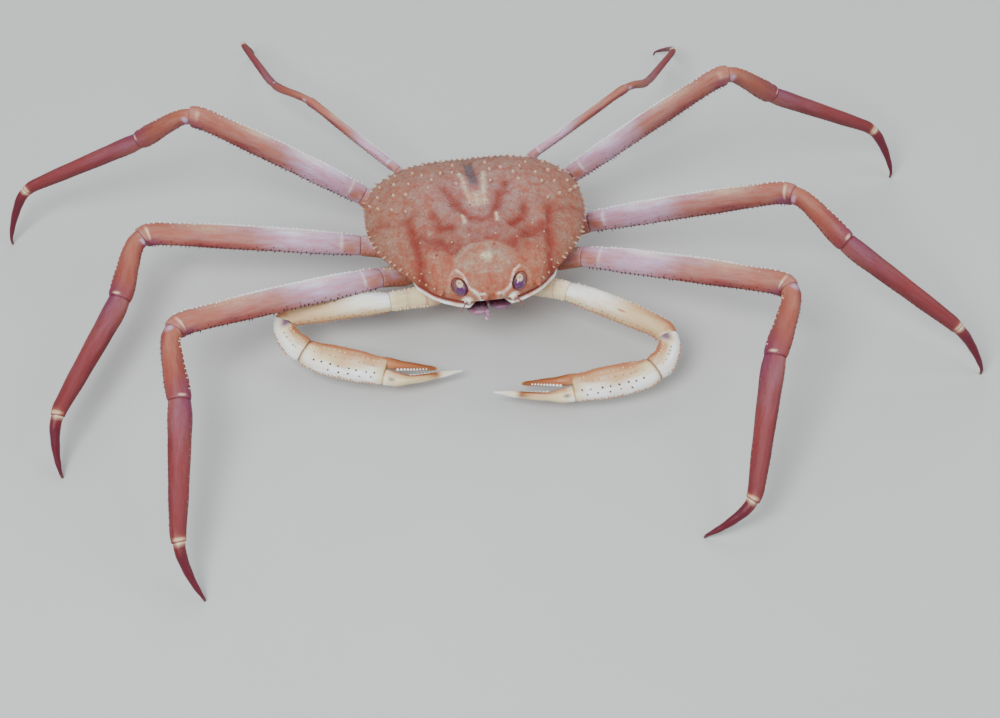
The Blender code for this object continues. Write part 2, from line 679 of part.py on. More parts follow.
def make_carapace(model, cutters, spines):
    """Shell of the back, with its sockets, rostrum and orbital teeth."""
    shell = object_from("carapace", carapace_cage, model)
    for side in SIDES.values():
        front_tooth(ROSTRUM_TOOTH, side, spines)
        front_tooth(ORBIT_TOOTH, side, spines)
    add_antenna_bosses(spines)
    add_carapace_spines(spines)
    combine(shell, spines)
    radii = EYE_RADII + ORBIT_ROOM
    for side in SIDES.values():
        centre = eye_centre(side) + UP * (ORBIT_ROOM.z - CLEARANCE)
        socket = object_from("socket", lambda build: ellipsoid(build, centre, radii), cutters)
        socket.display_type = "WIRE"
        socket.hide_render = True
    combine(shell, cutters, "DIFFERENCE")
    return shell


def antenna_way(side):
    """Direction of an antenna: forward, outward and a little up."""
    return Vector((side * 0.42, -0.88, 0.22)).normalized()


def antenna_root(side):
    """Middle of the front face of an antenna's boss."""
    size = ANTENNA
    return Vector((side * size["out"], size["along"], size["height"])) + antenna_way(side) * size["boss"]


def add_antenna_bosses(spines):
    """Short stalk articles that grow from the carapace's front below each eye."""
    size = ANTENNA
    for side in SIDES.values():
        end = antenna_root(side)
        start = end - antenna_way(side) * (2.0 * size["boss"])
        boss = straight_article(start, end, UP, ((0, 1.0, 1.0), (1, 1.0, 1.0)), 2.4, 2.4)
        object_from("boss", lambda build: loft(build, boss.rings(8)), spines)


def make_antenna(name, side, model):
    """Tapered whip in front of its boss."""
    size = ANTENNA
    way = antenna_way(side)
    start = antenna_root(side) + way * CLEARANCE
    taper = size["tip"] / size["radius"]
    outline = ((0, 1.0, 1.0), (0.15, 0.75, 0.75), (0.5, 0.5, 0.5), (1, taper, taper))
    whip = straight_article(start, start + way * size["length"], UP, outline, size["radius"], size["radius"],
                            bow=2.0)
    return object_from(name, lambda build: loft(build, whip.rings(8)), model)


def make_eye(name, side, model):
    """Eye, standing in its socket."""
    return object_from(name, lambda build: ellipsoid(build, eye_centre(side), EYE_RADII), model)


def thorax_outline():
    """Corners of the trunk from above, one flat side for each limb."""
    half = [THORAX_FRONT]
    for out, along, heading in LIMB_FLATS.values():
        turn = math.radians(heading)
        across = Vector((-math.sin(turn), math.cos(turn))) * FLAT_HALF_LENGTH
        half.append((out - across.x, along - across.y))
        half.append((out + across.x, along + across.y))
    half.append(THORAX_BACK)
    return half + [(-out, along) for out, along in reversed(half)]


def make_thorax(model):
    """Trunk that carries the limbs, flat underneath for the abdomen."""
    corners = thorax_outline()
    levels = ((THORAX_BOTTOM, THORAX_INSET), (THORAX_SIDE_FOOT, 1.0), (THORAX_TOP, 1.0))
    rings = [[Vector((x * share, y * share, height)) for x, y in corners] for height, share in levels]
    return object_from("thorax", lambda build: loft(build, rings), model)


def make_abdomen(model):
    """Narrow tail plate of a male, folded under the trunk."""
    size = ABDOMEN
    top = THORAX_BOTTOM - CLEARANCE
    height = top - size["thickness"] / 2
    start = Vector((0, size["back"], height))
    end = Vector((0, size["front"], height))
    tip = size["tip"] / size["half_width"]
    outline = ((0, 0.7, 0.75), (0.06, 0.9, 1.0), (0.28, 1.0, 1.0), (0.5, 0.72, 1.0), (0.9, tip * 1.3, 1.0),
               (1, tip * 0.6, 0.6))
    plate = straight_article(start, end, Vector((1, 0, 0)), outline, size["half_width"],
                             size["thickness"] / 2)
    return object_from("abdomen", lambda build: loft(build, plate.rings(12)), model)


def make_maxilliped(name, side, model):
    """Outer mouthpart: a plate that leans forward from the trunk's front."""
    size = MAXILLIPED
    start = Vector((side * size["out"], THORAX_FRONT[1] - CLEARANCE, size["height"]))
    way = direction(-90.0 - side * 1.5, size["pitch"])
    outline = ((0, 0.85, 1.0), (0.3, 1.0, 1.0), (0.75, 0.95, 0.9), (1, 0.6, 0.6))
    stem = start + Vector((0, -4, 0))
    tip = stem + way * MAXILLIPED_LENGTHS[side]
    samples = axis_between([start, stem, tip], [0.0, 3.6, 0.0], 0, 2)
    plate = Article(samples, Vector((1, 0, 0)), outline, size["half_width"], size["half_thickness"],
                    gaps=(0, 0))
    return object_from(name, lambda build: loft(build, plate.rings()), model)


def cheliped_articles(side_name):
    """Base, merus, carpus and palm of one claw limb, with the ways of all its articles."""
    side = SIDES[side_name]
    out, along, up = CHELIPED_ROOTS[side_name]
    root = Vector((side * out, along, up))
    ways = [direction(*turn) for turn in CHELIPED_POSES[side_name]]
    points = [root]
    for way, length in zip(ways[:3], CHELIPED_LENGTHS):
        points.append(points[-1] + way * length)
    kinds = ("merus", "carpus", "palm")
    articles = limb_articles("cheliped", side, points, list(CLAW_REACHES), CHELIPED_BREADTHS,
                             CHELIPED_FLATNESS, [OUTLINES[kind] for kind in kinds], CHELIPED_BOWS,
                             extensor_side(ways[:3]), 0)
    return articles, ways


def finger_article(palm, way):
    """Movable finger: starts face to face with the palm's end, on its outer edge."""
    size = FINGER
    palm_end, palm_way = palm.points[-1], palm.tangents[-1]
    root = palm_end + palm.dorsal * size["seat"] + palm_way * (CLEARANCE / 2)
    outline = ((0, 1.0, 1.0), (0.12, 0.92, 1.0), (0.35, 0.52, 0.72), (0.75, 0.40, 0.50),
               (1, size["tip"] / size["half_breadth"], size["tip"] / size["half_thickness"]))
    stem = root + palm_way * size["stem"]
    tip = root + way * CHELIPED_LENGTHS[3]
    samples = axis_between([root, stem, tip], [0.0, 0.9 * size["stem"], 0.0], 0, 2)
    return Article(samples, palm.dorsal, outline, size["half_breadth"], size["half_thickness"], gaps=(1, 0))


def fixed_finger_article(palm):
    """Fixed finger: continues the palm's inner edge and curves down."""
    size = FIXED_FINGER
    palm_end, palm_way = palm.points[-1], palm.tangents[-1]
    start = palm_end + palm.dorsal * size["seat"] - palm_way * size["root"]
    stem = start + palm_way * (size["root"] + size["stem"])
    end = palm_end + palm_way * size["length"] + palm.dorsal * (size["seat"] - size["spread"])
    end.z -= size["drop"]
    outline = ((0, 0.8, 0.9), (0.2, 1.0, 1.0), (0.5, 0.74, 0.8), (0.85, 0.46, 0.5),
               (1, size["tip"] / size["half_breadth"], size["tip"] / size["half_thickness"]))
    samples = axis_between([start, stem, end], [0.0, 0.9 * size["stem"], 0.0], 0, 2)
    return Article(samples, palm.dorsal, outline, size["half_breadth"], size["half_thickness"], gaps=(0, 0))


def make_article(name, article, model, sides=LIMB_SIDES):
    """Mesh of one article."""
    return object_from(name, lambda build: loft(build, article.rings(sides)), model)


def make_leg(number, side_name, model, extras):
    """The five nodes of one walking leg, with the spines of its edges."""
    nodes = []
    draw = random.Random(10 * number + len(side_name))
    share = SMALL_LEG_SHARE if number == 4 else 1.0
    for kind, article in zip(("base",) + ARTICLES, leg_articles(number, side_name)):
        item = make_article(f"leg_{number}_{side_name}_{kind}", article, model, LEG_SIDES)
        for row in LEG_ROWS.get(kind, ()):
            spine_row(extras, article, row, draw, share)
        combine(item, extras)
        nodes.append((item, kind))
    return nodes


def make_cheliped(side_name, model, extras):
    """The five nodes of one claw limb; the palm carries the fixed finger."""
    nodes = []
    draw = random.Random(len(side_name))
    articles, ways = cheliped_articles(side_name)
    palm = articles[-1]
    for kind, article in zip(("base", "merus", "carpus", "palm"), articles):
        item = make_article(f"cheliped_{side_name}_{kind}", article, model)
        for row in CLAW_ROWS[kind]:
            spine_row(extras, article, row, draw)
        if kind == "palm":
            fixed = fixed_finger_article(palm)
            make_article("fixed finger", fixed, extras, LEG_SIDES)
            for row in CLAW_ROWS["fixed finger"]:
                spine_row(extras, fixed, row, draw)
        combine(item, extras)
        nodes.append((item, "claw"))
    finger = finger_article(palm, ways[3])
    nodes.append((make_article(f"cheliped_{side_name}_finger", finger, model), "finger"))
    return nodes


def centre_on_origin(model):
    """Move every piece so that the box's bottom centre is the origin."""
    corners = [corner.co for item in model.objects for corner in item.data.vertices]
    low = [min(corner[axis] for corner in corners) for axis in range(3)]
    high = [max(corner[axis] for corner in corners) for axis in range(3)]
    shift = Matrix.Translation((-(low[0] + high[0]) / 2, -(low[1] + high[1]) / 2, 0.0))
    for item in model.objects:
        item.data.transform(shift)


def main():
    """Build the crab."""
    remove_everything()
    model = new_collection("grooved tanner crab")
    extras = new_collection("extras")
    cutters = new_collection("cutters")
    nodes = [(make_carapace(model, cutters, extras), "carapace"), (make_thorax(model), "thorax"),
             (make_abdomen(model), "abdomen")]
    for side_name, side in SIDES.items():
        nodes.append((make_eye(f"eye_{side_name}", side, model), "eye"))
        nodes.append((make_antenna(f"antenna_{side_name}", side, model), "antenna"))
        nodes.append((make_maxilliped(f"maxilliped_{side_name}", side, model), "maxilliped"))
        nodes += make_cheliped(side_name, model, extras)
        for number in LEG_ROOTS:
            nodes += make_leg(number, side_name, model, extras)
    for item, kind in nodes:
        item.data.materials.clear()
        item.data.materials.append(material(item.name, COLOURS[kind]))
    centre_on_origin(model)


main()
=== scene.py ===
"""Looks of the grooved tanner crab: fine shell, limbs, spines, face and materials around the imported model.

Shapes are worked out in millimetres in the crab's own frame, +X its left and -Y the way it faces, and are put
in place in metres when a mesh is made.
"""

import math
import random

import bmesh
import bpy
import numpy as np
from mathutils import Matrix, Vector, noise


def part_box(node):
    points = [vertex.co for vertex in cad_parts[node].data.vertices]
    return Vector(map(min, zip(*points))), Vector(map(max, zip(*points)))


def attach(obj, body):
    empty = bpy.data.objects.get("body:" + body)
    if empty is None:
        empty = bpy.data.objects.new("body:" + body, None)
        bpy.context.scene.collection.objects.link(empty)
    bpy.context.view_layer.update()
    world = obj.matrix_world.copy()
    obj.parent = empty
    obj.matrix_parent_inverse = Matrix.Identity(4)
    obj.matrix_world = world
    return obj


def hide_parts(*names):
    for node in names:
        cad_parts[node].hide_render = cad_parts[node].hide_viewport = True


bl_info = {
    "name": "Grooved tanner crab",
    "version": (1, 0, 0),
    "blender": (4, 5, 0),
    "location": "3D View > Sidebar > Crab",
    "description": "Builds the look of a life-size tanner crab around its packed solids",
    "category": "Add Mesh",
}

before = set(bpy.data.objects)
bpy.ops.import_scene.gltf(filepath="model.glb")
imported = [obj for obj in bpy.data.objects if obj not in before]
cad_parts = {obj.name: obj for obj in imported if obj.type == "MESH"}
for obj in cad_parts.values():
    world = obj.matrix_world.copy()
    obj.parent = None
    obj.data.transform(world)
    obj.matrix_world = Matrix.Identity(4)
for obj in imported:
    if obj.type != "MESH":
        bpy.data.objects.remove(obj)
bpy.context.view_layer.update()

MM = 0.001
CLEARANCE = 0.3
UP = Vector((0.0, 0.0, 1.0))
SIDES = {"left": 1, "right": -1}

# Carapace, as in the solids
CARAPACE_OUTLINE = (
    (0, -91), (19, -90), (39.5, -80), (51, -67.5), (66, -50), (78, -32),
    (84.5, -6), (83.5, 20), (73, 41), (57, 54), (38, 60), (19, 61.5), (0, 61),
)
MARGIN_HEIGHT = 62.0
MARGIN_SLOPE = 0.06
DOME_RISE = 29.0
REAR_SLOPE = {"start": -10.0, "end": 61.0, "drop": 0.42}
DOME_ROUNDNESS = 2.5
# How fast swellings and furrows grow from the margin inwards
MARGIN_FADE = 5.0
CARAPACE_FLOOR = 49.0
# Rings below the margin, as (share of the margin's distance, drop): at the front they end in a lip
FLANK = {
    "side": ((0.994, 0.7), (0.986, 1.5), (0.972, 3.0), (0.95, 4.3), (0.93, 5.2), (0.915, 5.9), (0.90, 6.5),
             (0.87, 7.6), (0.84, 9.0)),
    "front": ((0.985, 0.9), (0.974, 2.2), (0.969, 3.8), (0.977, 5.4), (0.991, 6.6), (0.998, 7.4), (0.993, 8.4),
              (0.97, 9.3), (0.94, 9.8)),
}
LIP = {"inner": 9.0, "outer": 16.0, "back": -54.0, "front": -66.0}
# Rings of the shell's flat floor, as shares of the margin's distance
FLOOR_RINGS = (0.78, 0.6, 0.4, 0.2)
# Swellings and hollows of the dome: out, along, spread each way, rise
REGIONS = {
    "gastric": (0, -38, 24, 20, 3.0),
    "cardiac": (0, 6, 13, 10, 2.0),
    "branchial": (42, 16, 26, 28, 3.6),
    "hepatic": (56, -40, 10, 12, 1.2),
    "cervical groove": (36, -28, 9, 15, -3.2),
    "cardiac groove": (19, -6, 7, 14, -2.0),
    "brow hollow": (28, -62, 9, 9, -1.4),
}
MEDIAN_GROOVE = {"front": 14.0, "back": 60.0, "half_width": 5.5, "depth": 5.0, "front_rise": 6.0, "back_rise": 3.0}

# Face
EYE_CENTRE = Vector((22.5, -82.3, 75.3))
EYE_RADII = Vector((4.8, 7.2, 6.0))
ORBIT_ROOM = Vector((0.6, 0.8, 0.8))
EYE_TURN = 28.0
KNOB = {"way": (0.0, -0.14, 0.99), "reach": 0.52, "rise": 0.10, "rest": 0.97}
CORNEA_WAY = (-0.12, -0.97, 0.22)
LINING = {"slope": 34.0, "roll": 22.0, "sunk": 0.9, "radii": (5.8, 8.2, 3.3)}
ORBIT_RIM = {"reach": 1.12, "spread": 0.12, "swell": 0.7}
ROSTRUM_TOOTH = {"root": (4.4, -82.0, 73.0), "way": (0.05, -1.0, -0.06), "length": 13.0, "breadth": 4.6,
                 "height": 3.2}
ORBIT_TOOTH = {"root": (36.0, -76.0, 71.0), "way": (0.10, -1.0, 0.12), "length": 10.0, "breadth": 3.4,
               "height": 2.4}
TOOTH_OUTLINE = ((0, 1.0, 1.0), (0.5, 0.9, 0.92), (0.8, 0.6, 0.62), (1, 0.14, 0.14))
ANTENNA = {"root": (14.0, -83.0, 65.5), "way": (0.42, -0.88, 0.22), "boss": 9.0, "boss_radius": 2.4,
           "length": 13.0, "radius": 1.2, "tip": 0.35, "bow": 2.0, "rings": 16}
MAXILLIPED = {"out": 9.3, "height": 38.5, "half_breadth": 8.2, "half_thickness": 3.0, "pitch": 30.0, "turn": 1.5,
              "stem": 4.0}
MAXILLIPED_LENGTHS = {1: 22.0, -1: 30.0}
# Joint across each outer mouthpart, and the groove along it
MOUTH_JOINT = {"place": 0.6, "width": 0.02, "depth": 0.14}
MOUTH_GROOVE = {"turn": 0.2, "width": 0.16, "depth": 0.10}
# Palp of the right mouthpart: its corners from the plate's own corner, and the girth of each piece
PALP = (((1.0, -2.5, 0.5), 2.1), ((0.5, -3.6, -2.5), 1.8), ((-0.5, -3.0, -5.0), 1.4))
PALP_OUTLINE = ((0, 0.8, 0.8), (0.3, 1.0, 1.0), (0.8, 0.9, 0.9), (1, 0.5, 0.5))

# Trunk
THORAX_TOP = CARAPACE_FLOOR - CLEARANCE
TRUNK_RINGS = {"top": (0.3, 0.7, 0.97), "side": 9, "foot": 6, "floor": 24}
THORAX_SIDE_FOOT = 28.0
THORAX_BOTTOM = 25.0
THORAX_INSET = 0.86
FLAT_HALF_LENGTH = 11.0
THORAX_FRONT = (18, -60)
THORAX_BACK = (17, 56.5)
# Flats of the trunk for the limbs: out, along, heading
LIMB_FLATS = {
    "cheliped": (33.0, -50.0, -49.0),
    "leg_1": (52.0, -30.0, -22.0),
    "leg_2": (58.5, -3.0, -2.0),
    "leg_3": (53.0, 26.5, 22.0),
    "leg_4": (36.0, 46.5, 51.0),
}
FLAT_HEIGHT = 39.5
# Headings of the seams between the trunk's plates, left side
SEAMS = (-62.0, -39.0, -14.0, 12.0, 38.0, 64.0)
SEAM_WIDTH = 1.6
SEAM_DEPTH = 1.3
SEAM_REACH = 45.0
ABDOMEN = {"back": 48.0, "front": -22.0, "half_width": 17.0, "tip": 6.0, "thickness": 4.0}
TAIL_JOINTS = (0.12, 0.27, 0.42, 0.57, 0.72, 0.86)
TAIL_GROOVE = {"depth": 0.09, "width": 0.008, "paint": 0.7, "paint_width": 0.012}

# Limbs
ARTICLES = ("merus", "carpus", "propodus", "dactyl")
LEG_ROOTS = {1: (78, -40, 48), 2: (89, 0, 42), 3: (82, 46, 49), 4: (52, 68, 51)}
LEG_LENGTHS = {1: (170, 64, 108, 44), 2: (170, 56, 110, 44), 3: (152, 62, 105, 45), 4: (96, 48, 77, 38)}
LEG_BREADTHS = {
    1: (9.8, 8.4, 8.4, 4.6), 2: (10.2, 8.4, 8.2, 4.6), 3: (9.8, 7.6, 6.8, 4.2), 4: (5.6, 4.3, 4.0, 2.9),
}
LEG_FLATNESS = (0.64, 0.72, 0.70, 0.85)
LEG_BOWS = (1.5, 0.8, 0.0, 2.6)
ROOT_REACH = 8.0
BEND_REACH = 16.0
BEND_SHARE = 0.4
ANKLE_SHARE = 0.2
TOE = {"fall": 0.9, "reach": 0.8}
CLAW_REACHES = (ROOT_REACH, 15.0, 14.0, 0.0)
# Heading and pitch of merus, carpus and propodus, and the toe's heading
LEG_POSES = {
    (1, "right"): ((-162.5, 9.0), (-86.0, -7.5), (-96.0, -16.5), -62.0),
    (2, "right"): ((174.5, 7.5), (-108.5, -18.5), (-118.5, -5.5), -91.5),
    (3, "right"): ((168.0, 32.3), (154.5, -44.0), (178.0, -25.0), -133.5),
    (4, "right"): ((131.5, 10.0), (125.5, -21.0), (106.5, -13.0), 69.5),
    (1, "left"): ((-30.0, 12.5), (-115.5, -7.5), (-108.0, -26.5), -170.0),
    (2, "left"): ((-20.5, 24.5), (-57.5, -13.0), (-27.5, -32.5), -36.5),
    (3, "left"): ((0.5, 38.7), (20.5, -46.5), (3.5, -31.5), -40.5),
    (4, "left"): ((22.5, 20.0), (54.5, -38.5), (60.0, -19.5), 114.5),
}
CHELIPED_ROOTS = {"right": (73, -60, 42), "left": (62, -70, 44)}
CHELIPED_LENGTHS = (86, 34, 64, 60)
CHELIPED_BREADTHS = (9.0, 9.2, 12.0)
CHELIPED_FLATNESS = (0.80, 0.84, 0.68)
# Heading and pitch of merus, carpus, palm and finger
CHELIPED_POSES = {
    "right": ((179.5, -4.0), (-58.0, -22.0), (-21.5, -3.0), (4.0, -7.0)),
    "left": ((-30.5, -7.5), (-122.0, -15.0), (-177.5, -4.5), (169.5, -1.5)),
}
CHELIPED_BOWS = (1.0, 1.5, 0.6)
FINGER = {"half_breadth": 6.0, "half_thickness": 4.6, "tip": 0.8, "stem": 16.0, "seat": 4.4}
FIXED_FINGER = {"half_breadth": 4.2, "half_thickness": 3.8, "tip": 0.8, "length": 36.0, "drop": 12.0,
                "stem": 7.0, "seat": -7.2, "root": 9.0, "spread": 12.0}
# Outlines of the articles: place, shares of breadth and thickness
OUTLINES = {
    "base": ((0, 1.0, 1.0), (0.3, 1.04, 1.04), (0.65, 0.96, 0.96), (1, 1.0, 1.0)),
    "merus": ((0, 0.80, 1.0), (0.06, 0.86, 1.02), (0.25, 0.97, 1.0), (0.6, 1.0, 0.98), (0.85, 0.90, 0.92),
              (0.94, 0.92, 0.98), (1, 0.86, 1.0)),
    "carpus": ((0, 0.84, 1.0), (0.14, 0.84, 0.94), (0.45, 0.95, 0.96), (0.8, 1.08, 1.04), (0.93, 1.04, 1.02),
               (1, 1.0, 1.0)),
    "propodus": ((0, 1.0, 1.0), (0.10, 1.06, 1.05), (0.3, 0.98, 0.96), (0.65, 0.86, 0.88), (0.92, 0.72, 0.84),
                 (1, 0.66, 0.8)),
    "dactyl": ((0, 1.0, 1.0), (0.12, 0.92, 0.95), (0.4, 0.72, 0.78), (0.7, 0.50, 0.56), (0.92, 0.28, 0.32),
               (1, 0.22, 0.26)),
    "palm": ((0, 0.80, 0.92), (0.10, 0.88, 0.98), (0.35, 1.0, 1.06), (0.65, 1.0, 1.02), (0.9, 0.88, 0.86),
             (1, 0.84, 0.80)),
}
CROOK_SHARE = 0.8
# Root of each base article: length before its corner, widest radius, flare over the next article
COXA = {"stem": 7.0, "corner": 0.8, "radius": 8.6, "flare": 1.5}
# Share of a finger's stem that its corner's rounding takes up
CORNER_SHARE = 0.9

# Furrows and colour bands of the shell: points (out, along), half width, depth, colour, strength
BANDS = {
    "front zone": (((46, -41), (30, -49), (15, -56), (0, -55)), 8.0, 0.0, "red", 0.62),
    "liver furrow": (((54, -22), (51, -42), (49, -58), (48, -72)), 4.5, 1.8, "red", 0.95),
    "neck furrow": (((47, -38), (35, -45), (26, -55), (16, -60), (7, -58)), 4.5, 1.5, "red", 0.80),
    "crescent": (((35, -20), (31, -32), (23, -38)), 4.2, 0.8, "red", 1.0),
    "heart furrow": (((23, 4), (18, -8), (15, -20)), 4.2, 0.9, "red", 0.80),
    "stomach arch": (((12, -24), (8, -32), (0, -35)), 3.8, 0.5, "red", 0.85),
    "stomach": (((0, -48), (10, -42)), 8.0, 0.0, "rose", 0.45),
    "heart rim": (((9, 22), (5.5, -16)), 1.9, -0.7, "cream", 0.50),
    "heart cap": (((0, -7), (0, -16)), 4.0, -0.4, "cream", 0.45),
    "tear": (((13, -27), (12, -35)), 1.2, -0.7, "cream", 0.75),
    "brow": (((2, -65), (0, -66)), 2.6, -0.5, "cream", 0.65),
    "eye ridge": (((23.3, -73.4), (19.6, -76.6), (17.8, -80.5), (16.8, -84.5), (13, -88), (5, -91)), 0.9, -1.4,
                  "pale", 0.80),
    "eye brow": (((24, -72), (29, -76), (31, -83)), 1.0, -0.9, "cream", 0.15),
    "side furrow": (((80, -14), (60, -21), (46, -15)), 3.4, 1.0, "red", 0.50),
    "back furrow": (((60, 46), (30, 53), (0, 54)), 3.0, 0.9, "brown", 0.45),
}
# Width of a furrow as a share of its colour's
FURROW_SHARE = 0.6
# Colours of the bands that lie over the patch between the eyes
LIGHT_BANDS = ("cream", "pale")
# Unevenness of the shell's colour borders: size and reach of the noise, in millimetres
BORDER_NOISE = {"size": 9.0, "reach": 3.0, "sideways": 0.3, "lengthways": 0.5, "patch": 1.0 / 24.0}
TAN_PATCH = {"along": -66.0, "half_width": 25.0, "half_length": 13.0}
PINK_PATCH = {"along": -8.0, "half_width": 46.0, "half_length": 42.0, "strength": 1.1}
# Soft steps of the paint: where a colour starts, where it is full, and its full strength
FADES = {
    "front orange": (52.0, 70.0, 0.75),
    # Painted shade: the back of the shell drawn towards brown
    "back shade": (36.0, 60.0, 0.55),
    "tan patch": (1.04, 0.86, 0.85),
    "stone gaps": (0.35, 0.0, 0.30),
    "lump tops": (0.1, 0.6, 0.22),
    "groove front": (0.0, 8.0, 0.9),
    "groove back": (54.0, 42.0, 1.0),
    "groove wall": (4.6, 2.4, 1.0),
    "socket wall": (1.03, 0.98, 0.9),
    "antenna boss": (5.5, 3.2, 0.85),
    "lip shade": (0.3, 2.0, 0.9),
    "shell edge": (0.90, 0.94, 1.0),
    "lip top": (5.4, 6.6, 1.2),
    "lip foot": (9.9, 9.2, 1.0),
    "flank": (1.0, 6.0, 0.40),
    "trunk seams": (0.2, 1.0, 0.5),
    "trunk sides": (30.0, 44.0, 0.35),
    "mouth front": (44.0, 54.0, 1.0),
    "mouth sides": (34.0, 24.0, 1.0),
    "mouth foot": (0.2, 2.0, 1.0),
    "cornea": (1.05, 0.85, 1.0),
    "knob": (0.62, 0.50, 0.95),
    "knob middle": (0.26, 0.12, 0.55),
    "lining edge": (4.5, 6.0, 1.0),
    "mouthpart": (74.0, 94.0, 1.0),
    "palp tip": (3.4, 1.8, 1.0),
}
# Swellings of the shell's skin, finest last: size in millimetres and height
COBBLES = {"waves": (15.0, 1.0), "lumps": (6.0, 0.55), "stones": (3.4, 0.34)}

# Row of stout tubercles inwards from each side, as (heading, share of the margin's distance)
SIDE_ROW = ((6.6, 0.93), (0.8, 0.865), (-5.4, 0.76), (-13.3, 0.66))
# Tubercles of the upper face, mirrored: (out, along)
TUBERCLES = (
    (60, 22), (48, 14), (34, 45), (24, 24), (31, 15), (13, 36), (52, 4), (19, 50), (35, 6), (46, 46),
    (63, 38), (44, 30), (57, 36), (70, 28), (15, 24), (39, -36), (47, -44), (24, -50), (10, -48),
    (39, -58), (43, -68), (49, -64), (12, 8), (72, 14), (38, 23), (62, 8),
)

# The way that the front view looks, down onto the crab, and the way that is up in it
FRONT_WAY = (0.0888, 0.6344, -0.7678)
GAZE = Vector(FRONT_WAY).normalized()
VIEW_UP = (UP - GAZE * GAZE.z).normalized()


def direction(heading, pitch):
    """Unit vector from a heading, counted from +X towards +Y, and a pitch above the floor, in degrees."""
    turn, lift = math.radians(heading), math.radians(pitch)
    return Vector((math.cos(lift) * math.cos(turn), math.cos(lift) * math.sin(turn), math.sin(lift)))


def mirrored(place, side):
    """A place or way of the left side, on either side."""
    return Vector((side * place[0], place[1], place[2]))


def between(table, place):
    """Values of a (place, value, ...) table at one place, joined by smooth steps."""
    for low, high in zip(table, table[1:]):
        if place <= high[0]:
            share = (place - low[0]) / (high[0] - low[0])
            share = share * share * (3.0 - 2.0 * share)
            return [a + (b - a) * share for a, b in zip(low[1:], high[1:])]
    return list(table[-1][1:])


def linear(value, low, high):
    """Straight rise from 0 at low to 1 at high, for numbers and arrays."""
    return np.clip((np.asarray(value, float) - low) / (high - low), 0.0, 1.0)


def smooth(value, low, high):
    """Smooth step from 0 at low to 1 at high, for numbers and arrays."""
    share = linear(value, low, high)
    return share * share * (3.0 - 2.0 * share)


def fade(name, value):
    """Strength of one of the paint's soft steps."""
    start, full, strength = FADES[name]
    return strength * smooth(value, start, full)


def round_turns(count):
    """Evenly spaced turns round a section, in radians."""
    return np.linspace(0.0, 2.0 * math.pi, count, endpoint=False)


def body_shift():
    """Where the crab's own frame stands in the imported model, from the middles of its eyes."""
    middles = [(low + high) / 2 for low, high in (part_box("eye_left"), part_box("eye_right"))]
    shift = (middles[0] + middles[1]) / 2 / MM
    return Vector((shift.x, shift.y - EYE_CENTRE.y, 0.0))


SHIFT = body_shift()


# Limb axes and sections
def corner_run(before, corner, after, reach, steps):
    """Points, tangents and bend of a rounded corner of a limb's axis, at each step from 0 to 1."""
    start = corner + (before - corner).normalized() * reach
    end = corner + (after - corner).normalized() * reach
    swing = (start - corner * 2.0 + end) * 2.0
    run = []
    for step in steps:
        point = start * (1.0 - step) ** 2 + corner * (2.0 * step * (1.0 - step)) + end * step ** 2
        speed = ((corner - start) * (1.0 - step) + (end - corner) * step) * 2.0
        run.append((point, speed.normalized(), speed.cross(swing).length / speed.length ** 3))
    return run


FIRST_HALF = (0.0, 0.25, 0.5)
SECOND_HALF = (0.5, 0.75, 1.0)


def axis_between(path, reaches, first, last):
    """Samples of the rounded axis from one path point to another; inner points are corners, ends are joints."""
    samples = []
    for k in range(first, last + 1):
        if k == 0:
            samples.append((path[0], (path[1] - path[0]).normalized(), 0.0))
        elif k == len(path) - 1:
            samples.append((path[-1], (path[-1] - path[-2]).normalized(), 0.0))
        else:
            steps = SECOND_HALF if k == first else FIRST_HALF if k == last else FIRST_HALF + SECOND_HALF[1:]
            samples += corner_run(path[k - 1], path[k], path[k + 1], reaches[k], steps)
    return samples


